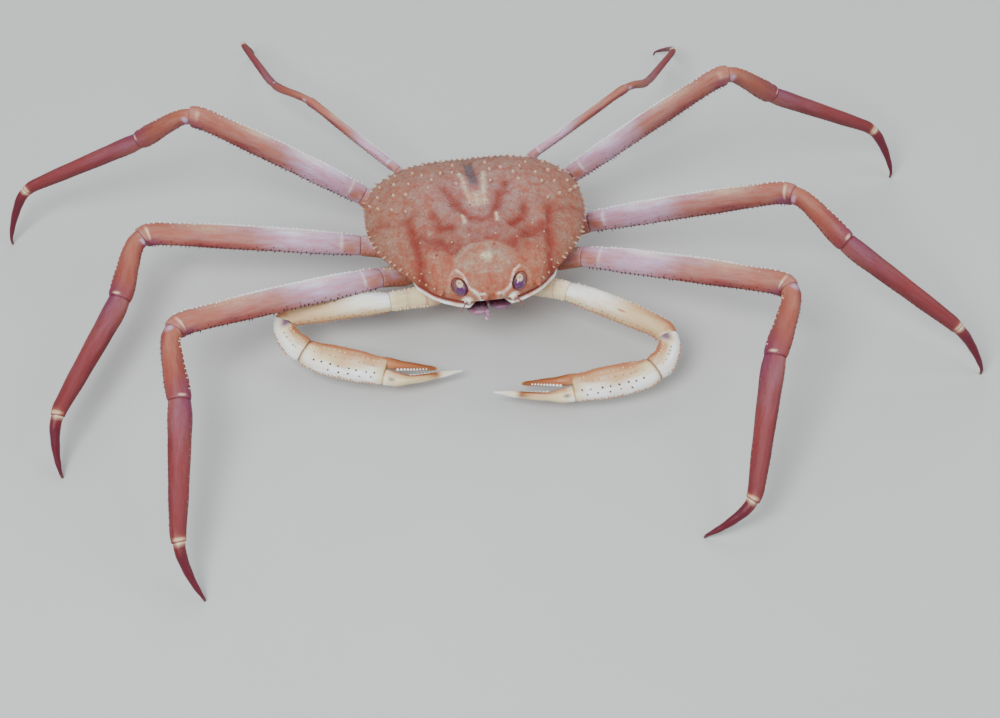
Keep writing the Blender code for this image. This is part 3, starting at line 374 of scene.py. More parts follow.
class Article:
    """One limb article: a tapered, slightly bowed tube along a run of axis samples."""

    def __init__(self, samples, dorsal, outline, breadth, thickness, bow=0.0, flare=None, gaps=(1, 1)):
        self.points = [sample[0].copy() for sample in samples]
        self.tangents = [sample[1] for sample in samples]
        self.bends = [sample[2] for sample in samples]
        self.points[0] += self.tangents[0] * (gaps[0] * CLEARANCE / 2)
        self.points[-1] -= self.tangents[-1] * (gaps[1] * CLEARANCE / 2)
        steps = [(b - a).length for a, b in zip(self.points, self.points[1:])]
        self.length = sum(steps)
        self.marks = [sum(steps[:k]) / self.length for k in range(len(self.points))]
        self.way = (self.points[-1] - self.points[0]).normalized()
        self.dorsal = (dorsal - self.way * dorsal.dot(self.way)).normalized()
        self.outline, self.breadth, self.thickness = outline, breadth, thickness
        self.bow, self.flare = bow, flare

    def frame(self, place):
        """Centre of a section, its dorsal and flat directions, its tangent and the axis's bend."""
        k = 0
        while k + 2 < len(self.marks) and place > self.marks[k + 1]:
            k += 1
        share = (place - self.marks[k]) / (self.marks[k + 1] - self.marks[k])
        centre = self.points[k].lerp(self.points[k + 1], share)
        centre += self.dorsal * (4.0 * self.bow * place * (1.0 - place))
        tangent = self.tangents[k].lerp(self.tangents[k + 1], share).normalized()
        dorsal = (self.dorsal - tangent * self.dorsal.dot(tangent)).normalized()
        bend = self.bends[k] + (self.bends[k + 1] - self.bends[k]) * share
        return centre, dorsal, tangent.cross(dorsal), tangent, bend

    def sizes(self, place):
        """Half breadth and half thickness; a base article flares out from its root."""
        breadth_share, thickness_share = between(self.outline, place)
        breadth, thickness = self.breadth * breadth_share, self.thickness * thickness_share
        if self.flare:
            breadth = self.flare + (breadth - self.flare) * place
            thickness = self.flare + (thickness - self.flare) * place
        return breadth, thickness

    def ring(self, place, turns, grow=1.0):
        """Points of a section at each turn, in radians; 0 is the dorsal edge."""
        centre, dorsal, flat, _, bend = self.frame(place)
        breadth, thickness = self.sizes(place)
        across = breadth * np.cos(turns) * grow
        if bend > 0.0:
            across = np.maximum(across, -CROOK_SHARE / bend)
        offset = np.outer(across, dorsal) + np.outer(thickness * np.sin(turns) * grow, flat)
        share = np.ones(len(turns))
        for corner, normal in ((self.points[0], self.tangents[0]), (self.points[-1], -self.tangents[-1])):
            room = (centre - corner).dot(normal)
            depth = -(offset @ np.array(normal))
            if room > 0.0:
                share = np.where(depth > room, np.minimum(share, room / np.maximum(depth, 1e-9)), share)
        return np.array(centre) + offset * share[:, None]

    def lean(self, place):
        """Turn at which a section stands highest across the limb in the front view."""
        _, dorsal, flat, tangent, _ = self.frame(place)
        across = GAZE.cross(tangent).normalized()
        if GAZE.cross(self.way).dot(VIEW_UP) < 0.0:
            across = -across
        breadth, thickness = self.sizes(place)
        return math.atan2(thickness * flat.dot(across), breadth * dorsal.dot(across))

    def turn_at(self, place, height, front):
        """Turn at a height across the limb, from -1 to 1, on the face seen in the front view or on the other."""
        lean, spread = self.lean(place), math.acos(height)
        turns = sorted((lean + spread, lean - spread), key=lambda turn: self.outward(place, turn).dot(GAZE))
        return turns[0] if front else turns[1]

    def outward(self, place, turn):
        """Outward normal of the skin, from the section alone."""
        _, dorsal, flat, _, _ = self.frame(place)
        breadth, thickness = self.sizes(place)
        return (dorsal * (math.cos(turn) / breadth) + flat * (math.sin(turn) / thickness)).normalized()


def straight_article(start, end, dorsal, outline, breadth, thickness, bow=0.0):
    """An article along a straight axis."""
    way = (end - start).normalized()
    samples = [(start, way, 0.0), (end, way, 0.0)]
    return Article(samples, dorsal, outline, breadth, thickness, bow, gaps=(0, 0))


def bent_article(corners, dorsal, outline, size, gaps=(0, 0)):
    """An article along an axis with one rounded corner."""
    samples = axis_between(corners, [0.0, CORNER_SHARE * size["stem"], 0.0], 0, 2)
    return Article(samples, dorsal, outline, size["half_breadth"], size["half_thickness"], gaps=gaps)


def limb_articles(flat, side, corners, reaches, breadths, flatness, outlines, bows, dorsals):
    """Base article and the chain beyond it, through the limb's corner points, face to face at each joint."""
    out, along, heading = LIMB_FLATS[flat]
    normal = direction(heading, 0.0)
    normal.x *= side
    foot = Vector((side * out, along, FLAT_HEIGHT)) + normal * (CLEARANCE / 2)
    path = [foot, foot + normal * COXA["stem"]] + corners
    bends = [0.0, COXA["stem"] * COXA["corner"], *reaches]
    chain = []
    for k, outline in enumerate(outlines):
        end = k == len(outlines) - 1
        samples = axis_between(path, bends, k + 2, len(path) - 1 if end else k + 3)
        chain.append(Article(samples, dorsals[k], outline, breadths[k], breadths[k] * flatness[k], bows[k],
                             gaps=(1, 0 if end else 1)))
    breadth, thickness = chain[0].sizes(0.0)
    flare = min(COXA["radius"], COXA["flare"] * breadth)
    base = Article(axis_between(path, bends, 0, 2), dorsals[0], OUTLINES["base"], breadth, thickness, flare=flare)
    return [base] + chain


def extensor_side(ways):
    """Side of each article that faces away from the limb's main bend."""
    first, far = ways[0], ways[2]
    bend = first.cross(far).normalized()
    sides = [way.cross(bend).normalized() for way in ways]
    if sides[0].dot(far) > 0.0:
        sides = [-dorsal for dorsal in sides]
    return sides


def leg_articles(number, side_name):
    """Articles of one walking leg, from the base to the dactyl's flat tip on the floor."""
    side = SIDES[side_name]
    lengths = LEG_LENGTHS[number]
    pose = LEG_POSES[(number, side_name)]
    ways = [direction(*pose[k]) for k in range(3)]
    points = [mirrored(LEG_ROOTS[number], side)]
    for way, length in zip(ways, lengths):
        points.append(points[-1] + way * length)
    drop = math.degrees(math.asin(TOE["fall"] * points[3].z / lengths[3]))
    ways.append(direction(pose[3], -drop))
    toe = points[3] + ways[3] * lengths[3]
    corners = points + [toe, Vector((toe.x, toe.y, 0.0))]
    reaches = [ROOT_REACH] + [min(BEND_REACH, BEND_SHARE * length) for length in lengths[:2]]
    reaches += [ANKLE_SHARE * lengths[3], TOE["reach"] * toe.z, 0.0]
    return limb_articles(f"leg_{number}", side, corners, reaches, LEG_BREADTHS[number], LEG_FLATNESS,
                         [OUTLINES[kind] for kind in ARTICLES], LEG_BOWS, extensor_side(ways))


def cheliped_articles(side_name):
    """Base, merus, carpus and palm of one claw limb, with its two fingers."""
    side = SIDES[side_name]
    ways = [direction(*turn) for turn in CHELIPED_POSES[side_name]]
    points = [mirrored(CHELIPED_ROOTS[side_name], side)]
    for way, length in zip(ways[:3], CHELIPED_LENGTHS):
        points.append(points[-1] + way * length)
    outlines = [OUTLINES[kind] for kind in ("merus", "carpus", "palm")]
    chain = limb_articles("cheliped", side, points, CLAW_REACHES, CHELIPED_BREADTHS, CHELIPED_FLATNESS, outlines,
                          CHELIPED_BOWS, extensor_side(ways[:3]))
    palm = chain[-1]
    return chain, finger_article(palm, ways[3]), fixed_finger_article(palm)


def finger_article(palm, way):
    """Movable finger: starts face to face with the palm's end, on its outer edge."""
    size = FINGER
    palm_end, palm_way = palm.points[-1], palm.tangents[-1]
    root = palm_end + palm.dorsal * size["seat"] + palm_way * (CLEARANCE / 2)
    outline = ((0, 1.0, 1.0), (0.12, 0.92, 1.0), (0.35, 0.52, 0.72), (0.75, 0.40, 0.50),
               (1, size["tip"] / size["half_breadth"], size["tip"] / size["half_thickness"]))
    stem = root + palm_way * size["stem"]
    tip = root + way * CHELIPED_LENGTHS[3]
    return bent_article([root, stem, tip], palm.dorsal, outline, size, (1, 0))


def fixed_finger_article(palm):
    """Fixed finger: continues the palm's inner edge and curves down."""
    size = FIXED_FINGER
    palm_end, palm_way = palm.points[-1], palm.tangents[-1]
    start = palm_end + palm.dorsal * size["seat"] - palm_way * size["root"]
    stem = start + palm_way * (size["root"] + size["stem"])
    end = palm_end + palm_way * size["length"] + palm.dorsal * (size["seat"] - size["spread"])
    end.z -= size["drop"]
    outline = ((0, 0.8, 0.9), (0.2, 1.0, 1.0), (0.5, 0.74, 0.8), (0.85, 0.46, 0.5),
               (1, size["tip"] / size["half_breadth"], size["tip"] / size["half_thickness"]))
    return bent_article([start, stem, end], palm.dorsal, outline, size)


# Shell surface
def outline_radius(heading):
    """Distance from the body's middle to the carapace margin, by heading in degrees from +X."""
    way = Vector((abs(math.cos(math.radians(heading))), math.sin(math.radians(heading))))
    for low, high in zip(CARAPACE_OUTLINE, CARAPACE_OUTLINE[1:]):
        a, b = Vector(low), Vector(high)
        edge = b - a
        cross = way.x * edge.y - way.y * edge.x
        if abs(cross) < 1e-9:
            continue
        reach = (a.x * edge.y - a.y * edge.x) / cross
        share = (a.x * way.y - a.y * way.x) / cross
        if reach > 0.0 and -1e-6 <= share <= 1.0 + 1e-6:
            return reach
    raise ValueError("the outline has a gap")


RADII = np.array([outline_radius(heading) for heading in np.arange(0.0, 360.0, 1.0)])
SOFT_RADII = np.mean([np.roll(RADII, step) for step in range(-5, 6)], axis=0)


def margin_radius(headings):
    """The margin's distance, averaged over a few degrees, at an array of headings in degrees."""
    turns = np.mod(headings, 360.0)
    return np.interp(turns, np.arange(0.0, 361.0), np.append(SOFT_RADII, SOFT_RADII[0]))


def compass(headings, reach):
    """Places out and along, at arrays of headings in degrees and distances from the middle."""
    turns = np.radians(headings)
    return reach * np.cos(turns), reach * np.sin(turns)


def band_distance(out, along, points):
    """Distance from each place to a line through points, on either side of the body."""
    best = np.full(np.shape(out), 1e9)
    for (x0, y0), (x1, y1) in zip(points, points[1:]):
        dx, dy = x1 - x0, y1 - y0
        share = np.clip(((np.abs(out) - x0) * dx + (along - y0) * dy) / (dx * dx + dy * dy), 0.0, 1.0)
        best = np.minimum(best, np.hypot(np.abs(out) - x0 - share * dx, along - y0 - share * dy))
    return best


def relief(out, along):
    """Height of the dome's swellings, hollows and furrows at arrays of places."""
    height = np.zeros(np.shape(out))
    for centre_out, centre_along, spread_out, spread_along, rise in REGIONS.values():
        for side in ((1, -1) if centre_out else (1,)):
            a = (out - side * centre_out) / spread_out
            b = (along - centre_along) / spread_along
            height += rise * np.exp(-a * a - b * b)
    groove = MEDIAN_GROOVE
    share = (along - groove["front"]) / (groove["back"] - groove["front"])
    ends = np.minimum(groove["front_rise"] * share, groove["back_rise"] * (1.0 - share))
    depth = groove["depth"] * np.clip(ends, 0.0, 1.0)
    return height - depth * np.exp(-((out / groove["half_width"]) ** 2))


def furrows(out, along):
    """Depth of the shell's narrow furrows and ridges."""
    height = np.zeros(np.shape(out))
    for points, width, depth, _, _ in BANDS.values():
        distance = band_distance(out, along, points)
        height -= depth * np.exp(-((distance / (FURROW_SHARE * width)) ** 2))
    return height


def dome(headings, shares):
    """Points of the carapace's upper face at arrays of headings in degrees and shares of the way out."""
    out, along = compass(headings, margin_radius(headings) * shares)
    rear = linear(along, REAR_SLOPE["start"], REAR_SLOPE["end"])
    rise = DOME_RISE * (1.0 - REAR_SLOPE["drop"] * rear * rear)
    rise = rise * np.sqrt(np.maximum(0.0, 1.0 - shares ** DOME_ROUNDNESS))
    detail = (relief(out, along) + furrows(out, along)) * np.minimum(1.0, MARGIN_FADE * (1.0 - shares))
    height = MARGIN_HEIGHT - MARGIN_SLOPE * along + rise + detail
    return np.stack(np.broadcast_arrays(out, along, height), axis=-1)


def dome_place(out, along):
    """Heading and share of a place of the upper face."""
    heading = math.degrees(math.atan2(along, out))
    return heading, math.hypot(out, along) / float(margin_radius(heading))


def dome_frame(heading, share):
    """Point and outward normal of the upper face."""
    inner, outer = share - 0.01, min(1.0, share + 0.01)
    base = dome(np.array([heading, heading - 1.5, heading + 1.5, heading, heading]),
                np.array([share, share, share, inner, outer]))
    across, inward = Vector(base[2] - base[1]), Vector(base[3] - base[4])
    normal = across.cross(inward).normalized()
    return Vector(base[0]), normal if normal.z > 0.0 else -normal


def lip_share(headings):
    """How far the front's flank takes the place of the side's, at an array of headings."""
    out, along = compass(headings, margin_radius(headings))
    return linear(np.abs(out), LIP["inner"], LIP["outer"]) * linear(along, LIP["back"], LIP["front"])


def rough_noise(points, size, seed=0.0):
    """Soft noise from -1 to 1 at each point, with bumps of a given size in millimetres."""
    offset = Vector((seed, -seed, 0.5 * seed))
    return np.array([noise.noise(Vector(point) / size + offset) for point in points])


def cobble_noise(points, size):
    """Rounded cobbles from 0 between them to 1 on top."""
    found = [noise.voronoi(Vector(point) / size)[0] for point in points]
    return np.array([min(1.0, pair[1] - pair[0]) for pair in found])


# Meshes
def grid_faces(rows, columns):
    """Quads of a grid whose columns close round."""
    return [(r * columns + k, r * columns + (k + 1) % columns, (r + 1) * columns + (k + 1) % columns,
             (r + 1) * columns + k) for r in range(rows - 1) for k in range(columns)]


def closed_tube(rings):
    """Vertices and faces of a tube through rings of points, closed by a fan at each end."""
    rings = np.asarray(rings, float)
    rows, columns = rings.shape[:2]
    points = np.concatenate([rings.reshape(-1, 3), [rings[0].mean(0)], [rings[-1].mean(0)]])
    first, last = rows * columns, rows * columns + 1
    end = (rows - 1) * columns
    faces = grid_faces(rows, columns)
    faces += [((k + 1) % columns, k, first) for k in range(columns)]
    faces += [(end + k, end + (k + 1) % columns, last) for k in range(columns)]
    return points, faces


def tube_along(article, rows, columns, grow=None):
    """Vertices and faces of an article in evenly spaced rings, each grown by a function of its place."""
    turns = round_turns(columns)
    return closed_tube([article.ring(place, turns, grow(place) if grow else 1.0)
                        for place in np.linspace(0.0, 1.0, rows)])


def joined(parts):
    """Several (points, faces) as one."""
    points, faces, count = [], [], 0
    for some_points, some_faces in parts:
        points.append(some_points)
        faces += [tuple(k + count for k in face) for face in some_faces]
        count += len(some_points)
    return np.concatenate(points), faces


def new_object(name, data):
    """An object in the scene."""
    item = bpy.data.objects.new(name, data)
    bpy.context.scene.collection.objects.link(item)
    return item


def mesh_object(name, points, faces):
    """A smooth mesh object from points in millimetres of the crab's own frame, faces outwards."""
    mesh = bpy.data.meshes.new(name)
    mesh.from_pydata((np.asarray(points, float) + np.array(SHIFT)) * MM, [], faces)
    mesh.update()
    build = bmesh.new()
    build.from_mesh(mesh)
    bmesh.ops.recalc_face_normals(build, faces=build.faces)
    build.to_mesh(mesh)
    build.free()
    mesh.shade_smooth()
    return new_object(name, mesh)


def mesh_points(item):
    """Vertex places in millimetres of the crab's own frame."""
    places = np.zeros(len(item.data.vertices) * 3)
    item.data.vertices.foreach_get("co", places)
    return places.reshape(-1, 3) / MM - np.array(SHIFT)


def set_tint(item, colours):
    """Store a colour at each vertex."""
    data = np.ones((len(item.data.vertices), 4), np.float32)
    data[:, :3] = colours
    attribute = item.data.attributes.new("tint", "FLOAT_COLOR", "POINT")
    attribute.data.foreach_set("color", data.ravel())


def finish_piece(item, surface, slot, *nodes):
    """Give a piece its material and body, and hide the solids that it stands for; the slot is not used."""
    item.data.materials.clear()
    item.data.materials.append(surface)
    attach(item, "root")
    if nodes:
        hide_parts(*nodes)


def mixed(colours, other, weight):
    """Colours drawn towards another by a weight at each vertex."""
    weight = np.clip(weight, 0.0, 1.0)[:, None]
    return colours * (1.0 - weight) + np.asarray(other, float) * weight


def blend_tints(table, places):
    """Colours of a (place, colour) table at an array of places."""
    stops = np.array([row[0] for row in table], float)
    rows = np.array([row[1] for row in table], float)
    return np.stack([np.interp(places, stops, rows[:, k]) for k in range(3)], axis=-1)


def boolean(item, tools, operation):
    """Join or cut a piece with closed tools, which are then removed."""
    group = bpy.data.collections.new("tools")
    for tool in tools:
        group.objects.link(tool)
    change = item.modifiers.new("combine", "BOOLEAN")
    change.operation, change.operand_type = operation, "COLLECTION"
    change.collection, change.solver = group, "MANIFOLD"
    mesh = bpy.data.meshes.new_from_object(item.evaluated_get(bpy.context.evaluated_depsgraph_get()))
    item.modifiers.remove(change)
    item.data = mesh
    for tool in tools:
        bpy.data.objects.remove(tool, do_unlink=True)
    bpy.data.collections.remove(group)
    mesh.shade_smooth()


# Share of a stud's height that stands below the skin, and the width left at a spine's tip
STUD_ROOT = 0.25
BLUNT_TIP = 0.05


# Node trees
def new_node(tree, kind, inputs=None, **settings):
    """A node with its settings and its linked or fixed inputs."""
    made = tree.nodes.new(kind)
    for key, value in settings.items():
        setattr(made, key, value)
    for key, value in (inputs or {}).items():
        if isinstance(value, bpy.types.NodeSocket):
            tree.links.new(value, made.inputs[key])
        else:
            made.inputs[key].default_value = value
    return made


def spine_tree():
    """Geometry tree that stands a spine on every point, turned along the point's way."""
    tree = bpy.data.node_groups.new("spines on points", "GeometryNodeTree")
    face = tree.interface
    face.new_socket("Points", in_out="INPUT", socket_type="NodeSocketGeometry")
    names = {}
    for name, kind, value in (("Sides", "Int", 8), ("Length factor", "Float", 1.0), ("Width factor", "Float", 1.0),
                              ("Sharpness", "Float", 1.0), ("Seed", "Int", 3), ("Material", "Material", None)):
        socket = face.new_socket(name, in_out="INPUT", socket_type="NodeSocket" + kind)
        names[name] = socket.identifier
        if value is not None:
            socket.default_value = value
    face.new_socket("Geometry", in_out="OUTPUT", socket_type="NodeSocketGeometry")

    def add(kind, inputs=None, output=0, **settings):
        """The output of a new node."""
        return new_node(tree, kind, inputs, **settings).outputs[output]

    def sums(operation, first, second):
        return add("ShaderNodeMath", {0: first, 1: second}, operation=operation)

    def named(name, kind):
        return add("GeometryNodeInputNamedAttribute", {"Name": name}, "Attribute", data_type=kind)

    start = tree.nodes.new("NodeGroupInput").outputs
    stem = add("GeometryNodeMeshCone", {"Vertices": start["Sides"], "Side Segments": 4, "Radius Top": 1.0,
                                        "Radius Bottom": 1.0, "Depth": 1.0}, "Mesh")
    place = add("GeometryNodeInputPosition")
    rise = add("ShaderNodeSeparateXYZ", {0: place}, "Z")
    taper = sums("MAXIMUM", sums("POWER", sums("SUBTRACT", 1.0, rise), start["Sharpness"]), BLUNT_TIP)
    narrow = add("ShaderNodeCombineXYZ", {"X": taper, "Y": taper, "Z": 1.0})
    shaped = add("ShaderNodeVectorMath", {0: place, 1: narrow}, operation="MULTIPLY")
    shape = add("GeometryNodeSetPosition", {"Geometry": stem, "Position": shaped})
    spine = add("GeometryNodeStoreNamedAttribute", {"Geometry": shape, "Name": "rise", "Value": rise},
                data_type="FLOAT", domain="POINT")
    align = add("FunctionNodeAlignRotationToVector", {"Vector": named("way", "FLOAT_VECTOR")}, axis="Z")
    spin = add("FunctionNodeRandomValue", {"Seed": start["Seed"], "Max": 2.0 * math.pi}, 1, data_type="FLOAT")
    turn = add("FunctionNodeAxisAngleToRotation", {"Axis": (0.0, 0.0, 1.0), "Angle": spin})
    rotate = add("FunctionNodeRotateRotation", {"Rotation": align, "Rotate By": turn}, rotation_space="LOCAL")
    girth = sums("MULTIPLY", named("girth", "FLOAT"), start["Width factor"])
    height = sums("MULTIPLY", named("height", "FLOAT"), start["Length factor"])
    scale = add("ShaderNodeCombineXYZ", {"X": girth, "Y": girth, "Z": height})
    stand = add("GeometryNodeInstanceOnPoints", {"Points": start["Points"], "Instance": spine,
                                                 "Rotation": rotate, "Scale": scale})
    solid = add("GeometryNodeRealizeInstances", {0: stand})
    paint = add("GeometryNodeSetMaterial", {"Geometry": solid, "Material": start["Material"]})
    tree.links.new(paint, tree.nodes.new("NodeGroupOutput").inputs[0])
    return tree, names


class Studs:
    """Points that spines or knobs will stand on."""

    def __init__(self):
        self.found = []

    def add(self, place, way, height, girth, tint):
        """One stud in millimetres, its root a little below the skin."""
        way = Vector(way).normalized()
        root = Vector(place) - way * (STUD_ROOT * height)
        self.found.append((root, way, (1.0 + STUD_ROOT) * height, girth, tint))

    def make(self, name, sharpness, surface, slot):
        """Grow the studs with a geometry tree and keep the result as a plain mesh."""
        size = settings()[1]
        places, ways, heights, girths, tints = (np.array(values) for values in zip(*self.found))
        mesh = bpy.data.meshes.new(name)
        mesh.from_pydata((places + np.array(SHIFT)) * MM, [], [])
        for label, kind, field, values in (("way", "FLOAT_VECTOR", "vector", ways),
                                           ("girth", "FLOAT", "value", girths * MM),
                                           ("height", "FLOAT", "value", heights * MM)):
            attribute = mesh.attributes.new(label, kind, "POINT")
            attribute.data.foreach_set(field, values.astype(np.float32).ravel())
        points = new_object(name + "_points", mesh)
        set_tint(points, tints)
        tree, sockets = spine_tree()
        grow = points.modifiers.new("grow", "NODES")
        grow.node_group = tree
        for label, value in (("Sides", size.spine_sides), ("Length factor", size.spine_length),
                             ("Width factor", size.spine_width), ("Sharpness", sharpness),
                             ("Seed", size.seed), ("Material", surface)):
            grow[sockets[label]] = value
        grown = bpy.data.meshes.new_from_object(points.evaluated_get(bpy.context.evaluated_depsgraph_get()))
        points.modifiers.remove(grow)
        bpy.data.objects.remove(points, do_unlink=True)
        grown.name = name
        grown.shade_smooth()
        finish_piece(new_object(name, grown), surface, slot)


# Waves of noise or cells in a metre of each finish
WAVES = {"mottle": 150.0, "streaks": 260.0, "freckles": 620.0, "spots": 230.0, "sheen": 260.0, "pores": 1900.0,
         "spine stain": 500.0, "spine sheen": 700.0, "spine skin": 1500.0, "facets": 2600.0, "eye stain": 700.0,
         "skin stain": 420.0, "skin sheen": 300.0, "skin folds": 900.0, "floor": 6.0}


class Recipe:
    """Short way to build a material's nodes."""

    def __init__(self, name):
        self.surface = bpy.data.materials.new(name)
        self.surface.use_nodes = True
        self.tree = self.surface.node_tree
        self.shader = self.tree.nodes["Principled BSDF"]
        self.where = self.tree.nodes.new("ShaderNodeTexCoord").outputs["Object"]

    def node(self, kind, inputs=None, output=0, **settings):
        """The output of a new node."""
        return new_node(self.tree, kind, inputs, **settings).outputs[output]

    def attribute(self, name, output="Color"):
        """Values kept in the piece's mesh."""
        return self.node("ShaderNodeAttribute", None, output, attribute_name=name)

    def noise(self, scale, detail=3.0):
        """Noise of a given number of waves per metre."""
        return self.node("ShaderNodeTexNoise", {"Vector": self.where, "Scale": scale, "Detail": detail,
                                                "Roughness": 0.6}, "Fac")

    def cells(self, scale, output="Distance"):
        """Cells, a given number per metre."""
        return self.node("ShaderNodeTexVoronoi", {"Vector": self.where, "Scale": scale}, output)

    def ramp(self, value, low, high, to_low=0.0, to_high=1.0):
        """Map a value from one range to another, held at both ends."""
        return self.node("ShaderNodeMapRange", {"Value": value, "From Min": low, "From Max": high,
                                                "To Min": to_low, "To Max": to_high}, "Result")

    def mix(self, factor, first, second, blend="MIX"):
        """Mix two colours; inputs 6 and 7 of the node are its colours, output 2 the result."""
        inputs = {0: factor}
        for place, value in ((6, first), (7, second)):
            inputs[place] = value if isinstance(value, bpy.types.NodeSocket) else (*value, 1.0)
        return self.node("ShaderNodeMix", inputs, 2, data_type="RGBA", blend_type=blend)

    def set(self, name, value):
        """Link or set one of the shader's sockets."""
        if isinstance(value, bpy.types.NodeSocket):
            self.tree.links.new(value, self.shader.inputs[name])
        else:
            self.shader.inputs[name].default_value = value

    def sheen(self, wave, low, high):
        """Uneven roughness between two values."""
        self.set("Roughness", self.ramp(self.noise(WAVES[wave]), 0.3, 0.7, low, high))

    def stained(self, wave, amount, shade, low=0.35, high=0.65, ground=None):
        """The piece's tint, or another ground, stained with a darker shade."""
        if ground is None:
            ground = self.attribute("tint")
        stain = self.ramp(self.noise(WAVES[wave]), low, high, 0.0, amount)
        self.set("Base Color", self.mix(stain, ground, shade, "MULTIPLY"))

    def bump(self, layers):
        """Bump from layers of (height, strength, distance in metres), one over the other."""
        normal = None
        for height, strength, distance in layers:
            inputs = {"Height": height, "Strength": strength, "Distance": distance}
            if normal is not None:
                inputs["Normal"] = normal
            normal = self.node("ShaderNodeBump", inputs, "Normal")
        self.set("Normal", normal)


def shell_surface(name, freckle, share=0.0, grain=900.0, roughness=(0.42, 0.66), depth=0.00035, mottle=0.12,
                  streaks=False):
    """Chitin: the piece's own tint, mottled and freckled, with fine pits and an uneven sheen."""
    make = Recipe(name)
    if streaks:
        make.where = make.attribute("grain", "Vector")
    broad, fine = make.noise(WAVES["streaks" if streaks else "mottle"], 4.0), make.noise(WAVES["freckles"])
    deep, light = (1.0, 1.0 - 1.8 * mottle, 1.0 - 2.2 * mottle), (1.0, 1.0 + 1.5 * mottle, 1.0 + 2.0 * mottle)
    mottled, freckle = make.mix(make.ramp(broad, 0.36, 0.62), deep, light), hues(freckle)
    colour = make.mix(1.0, make.attribute("tint"), mottled, "MULTIPLY")
    colour = make.mix(make.ramp(fine, 0.50, 0.32, 0.0, 2.0 * mottle), colour, freckle)
    if share:
        spot = make.ramp(make.cells(WAVES["spots"]), 0.26, 0.14)
        chosen = make.node("ShaderNodeSeparateColor", {"Color": make.cells(WAVES["spots"], "Color")})
        some = make.ramp(chosen, 1.0 - share, 1.02 - share)
        both = make.node("ShaderNodeMath", {0: spot, 1: some}, operation="MULTIPLY")
        colour = make.mix(both, colour, freckle)
    make.set("Base Color", colour)
    make.sheen("sheen", *roughness)
    make.bump([(broad, 0.5, 0.0014), (make.cells(grain), 0.5, depth),
               (make.noise(WAVES["pores"], 2.0), 0.25, 0.00015)])
    make.set("Specular IOR Level", 0.28)
    make.set("Coat Weight", 0.04)
    make.set("Coat Roughness", 0.3)
    return make.surface


def spine_surface(name, tip, start=0.25, end=0.85):
    """Spines: the shell's tint at the root, fading to another colour at the tip."""
    make = Recipe(name)
    colour = make.mix(make.ramp(make.attribute("rise", "Fac"), start, end), make.attribute("tint"), hues(tip))
    make.stained("spine stain", 0.3, (0.84, 0.70, 0.58), 0.4, 0.7, colour)
    make.sheen("spine sheen", 0.35, 0.6)
    make.bump([(make.noise(WAVES["spine skin"]), 0.3, 0.0002)])
    return make.surface


def eye_surface(name):
    """Wet eye: its own tint under a clear coat, with a fine net of facets."""
    make = Recipe(name)
    facets = make.cells(WAVES["facets"])
    make.stained("eye stain", 0.6, (0.6, 0.5, 0.6))
    make.set("Roughness", make.ramp(facets, 0.0, 0.6, 0.12, 0.25))
    make.bump([(facets, 0.2, 0.00006)])
    make.set("Coat Weight", 0.8)
    make.set("Coat Roughness", 0.06)
    return make.surface


def membrane_surface(name):
    """Soft joint skin: folded round the limb, damp."""
    make = Recipe(name)
    make.stained("skin stain", 1.0, (0.55, 0.42, 0.48))
    make.sheen("skin sheen", 0.35, 0.6)
    make.bump([(make.noise(WAVES["skin folds"], 4.0), 0.6, 0.0004)])
    return make.surface


def floor_surface(colour):
    """Pale matt studio floor."""
    make = Recipe("floor")
    darker = tuple(0.97 * part for part in colour)
    make.set("Base Color", make.mix(make.ramp(make.noise(WAVES["floor"]), 0.3, 0.7), colour, darker))
    make.set("Roughness", 0.85)
    return make.surface


# Settings
def colour_setting(name, description, value):
    """A colour that a user can change."""
    return bpy.props.FloatVectorProperty(name=name, description=description, subtype="COLOR", size=3, min=0.0,
                                         max=1.0, default=value)


def count_setting(name, description, value, least=0):
    """A whole number that a user can change."""
    return bpy.props.IntProperty(name=name, description=description, default=value, min=least)


def number_setting(name, description, value, least=0.0, most=1000.0, subtype="NONE"):
    """A number that a user can change."""
    return bpy.props.FloatProperty(name=name, description=description, subtype=subtype, default=value, min=least,
                                   max=most)


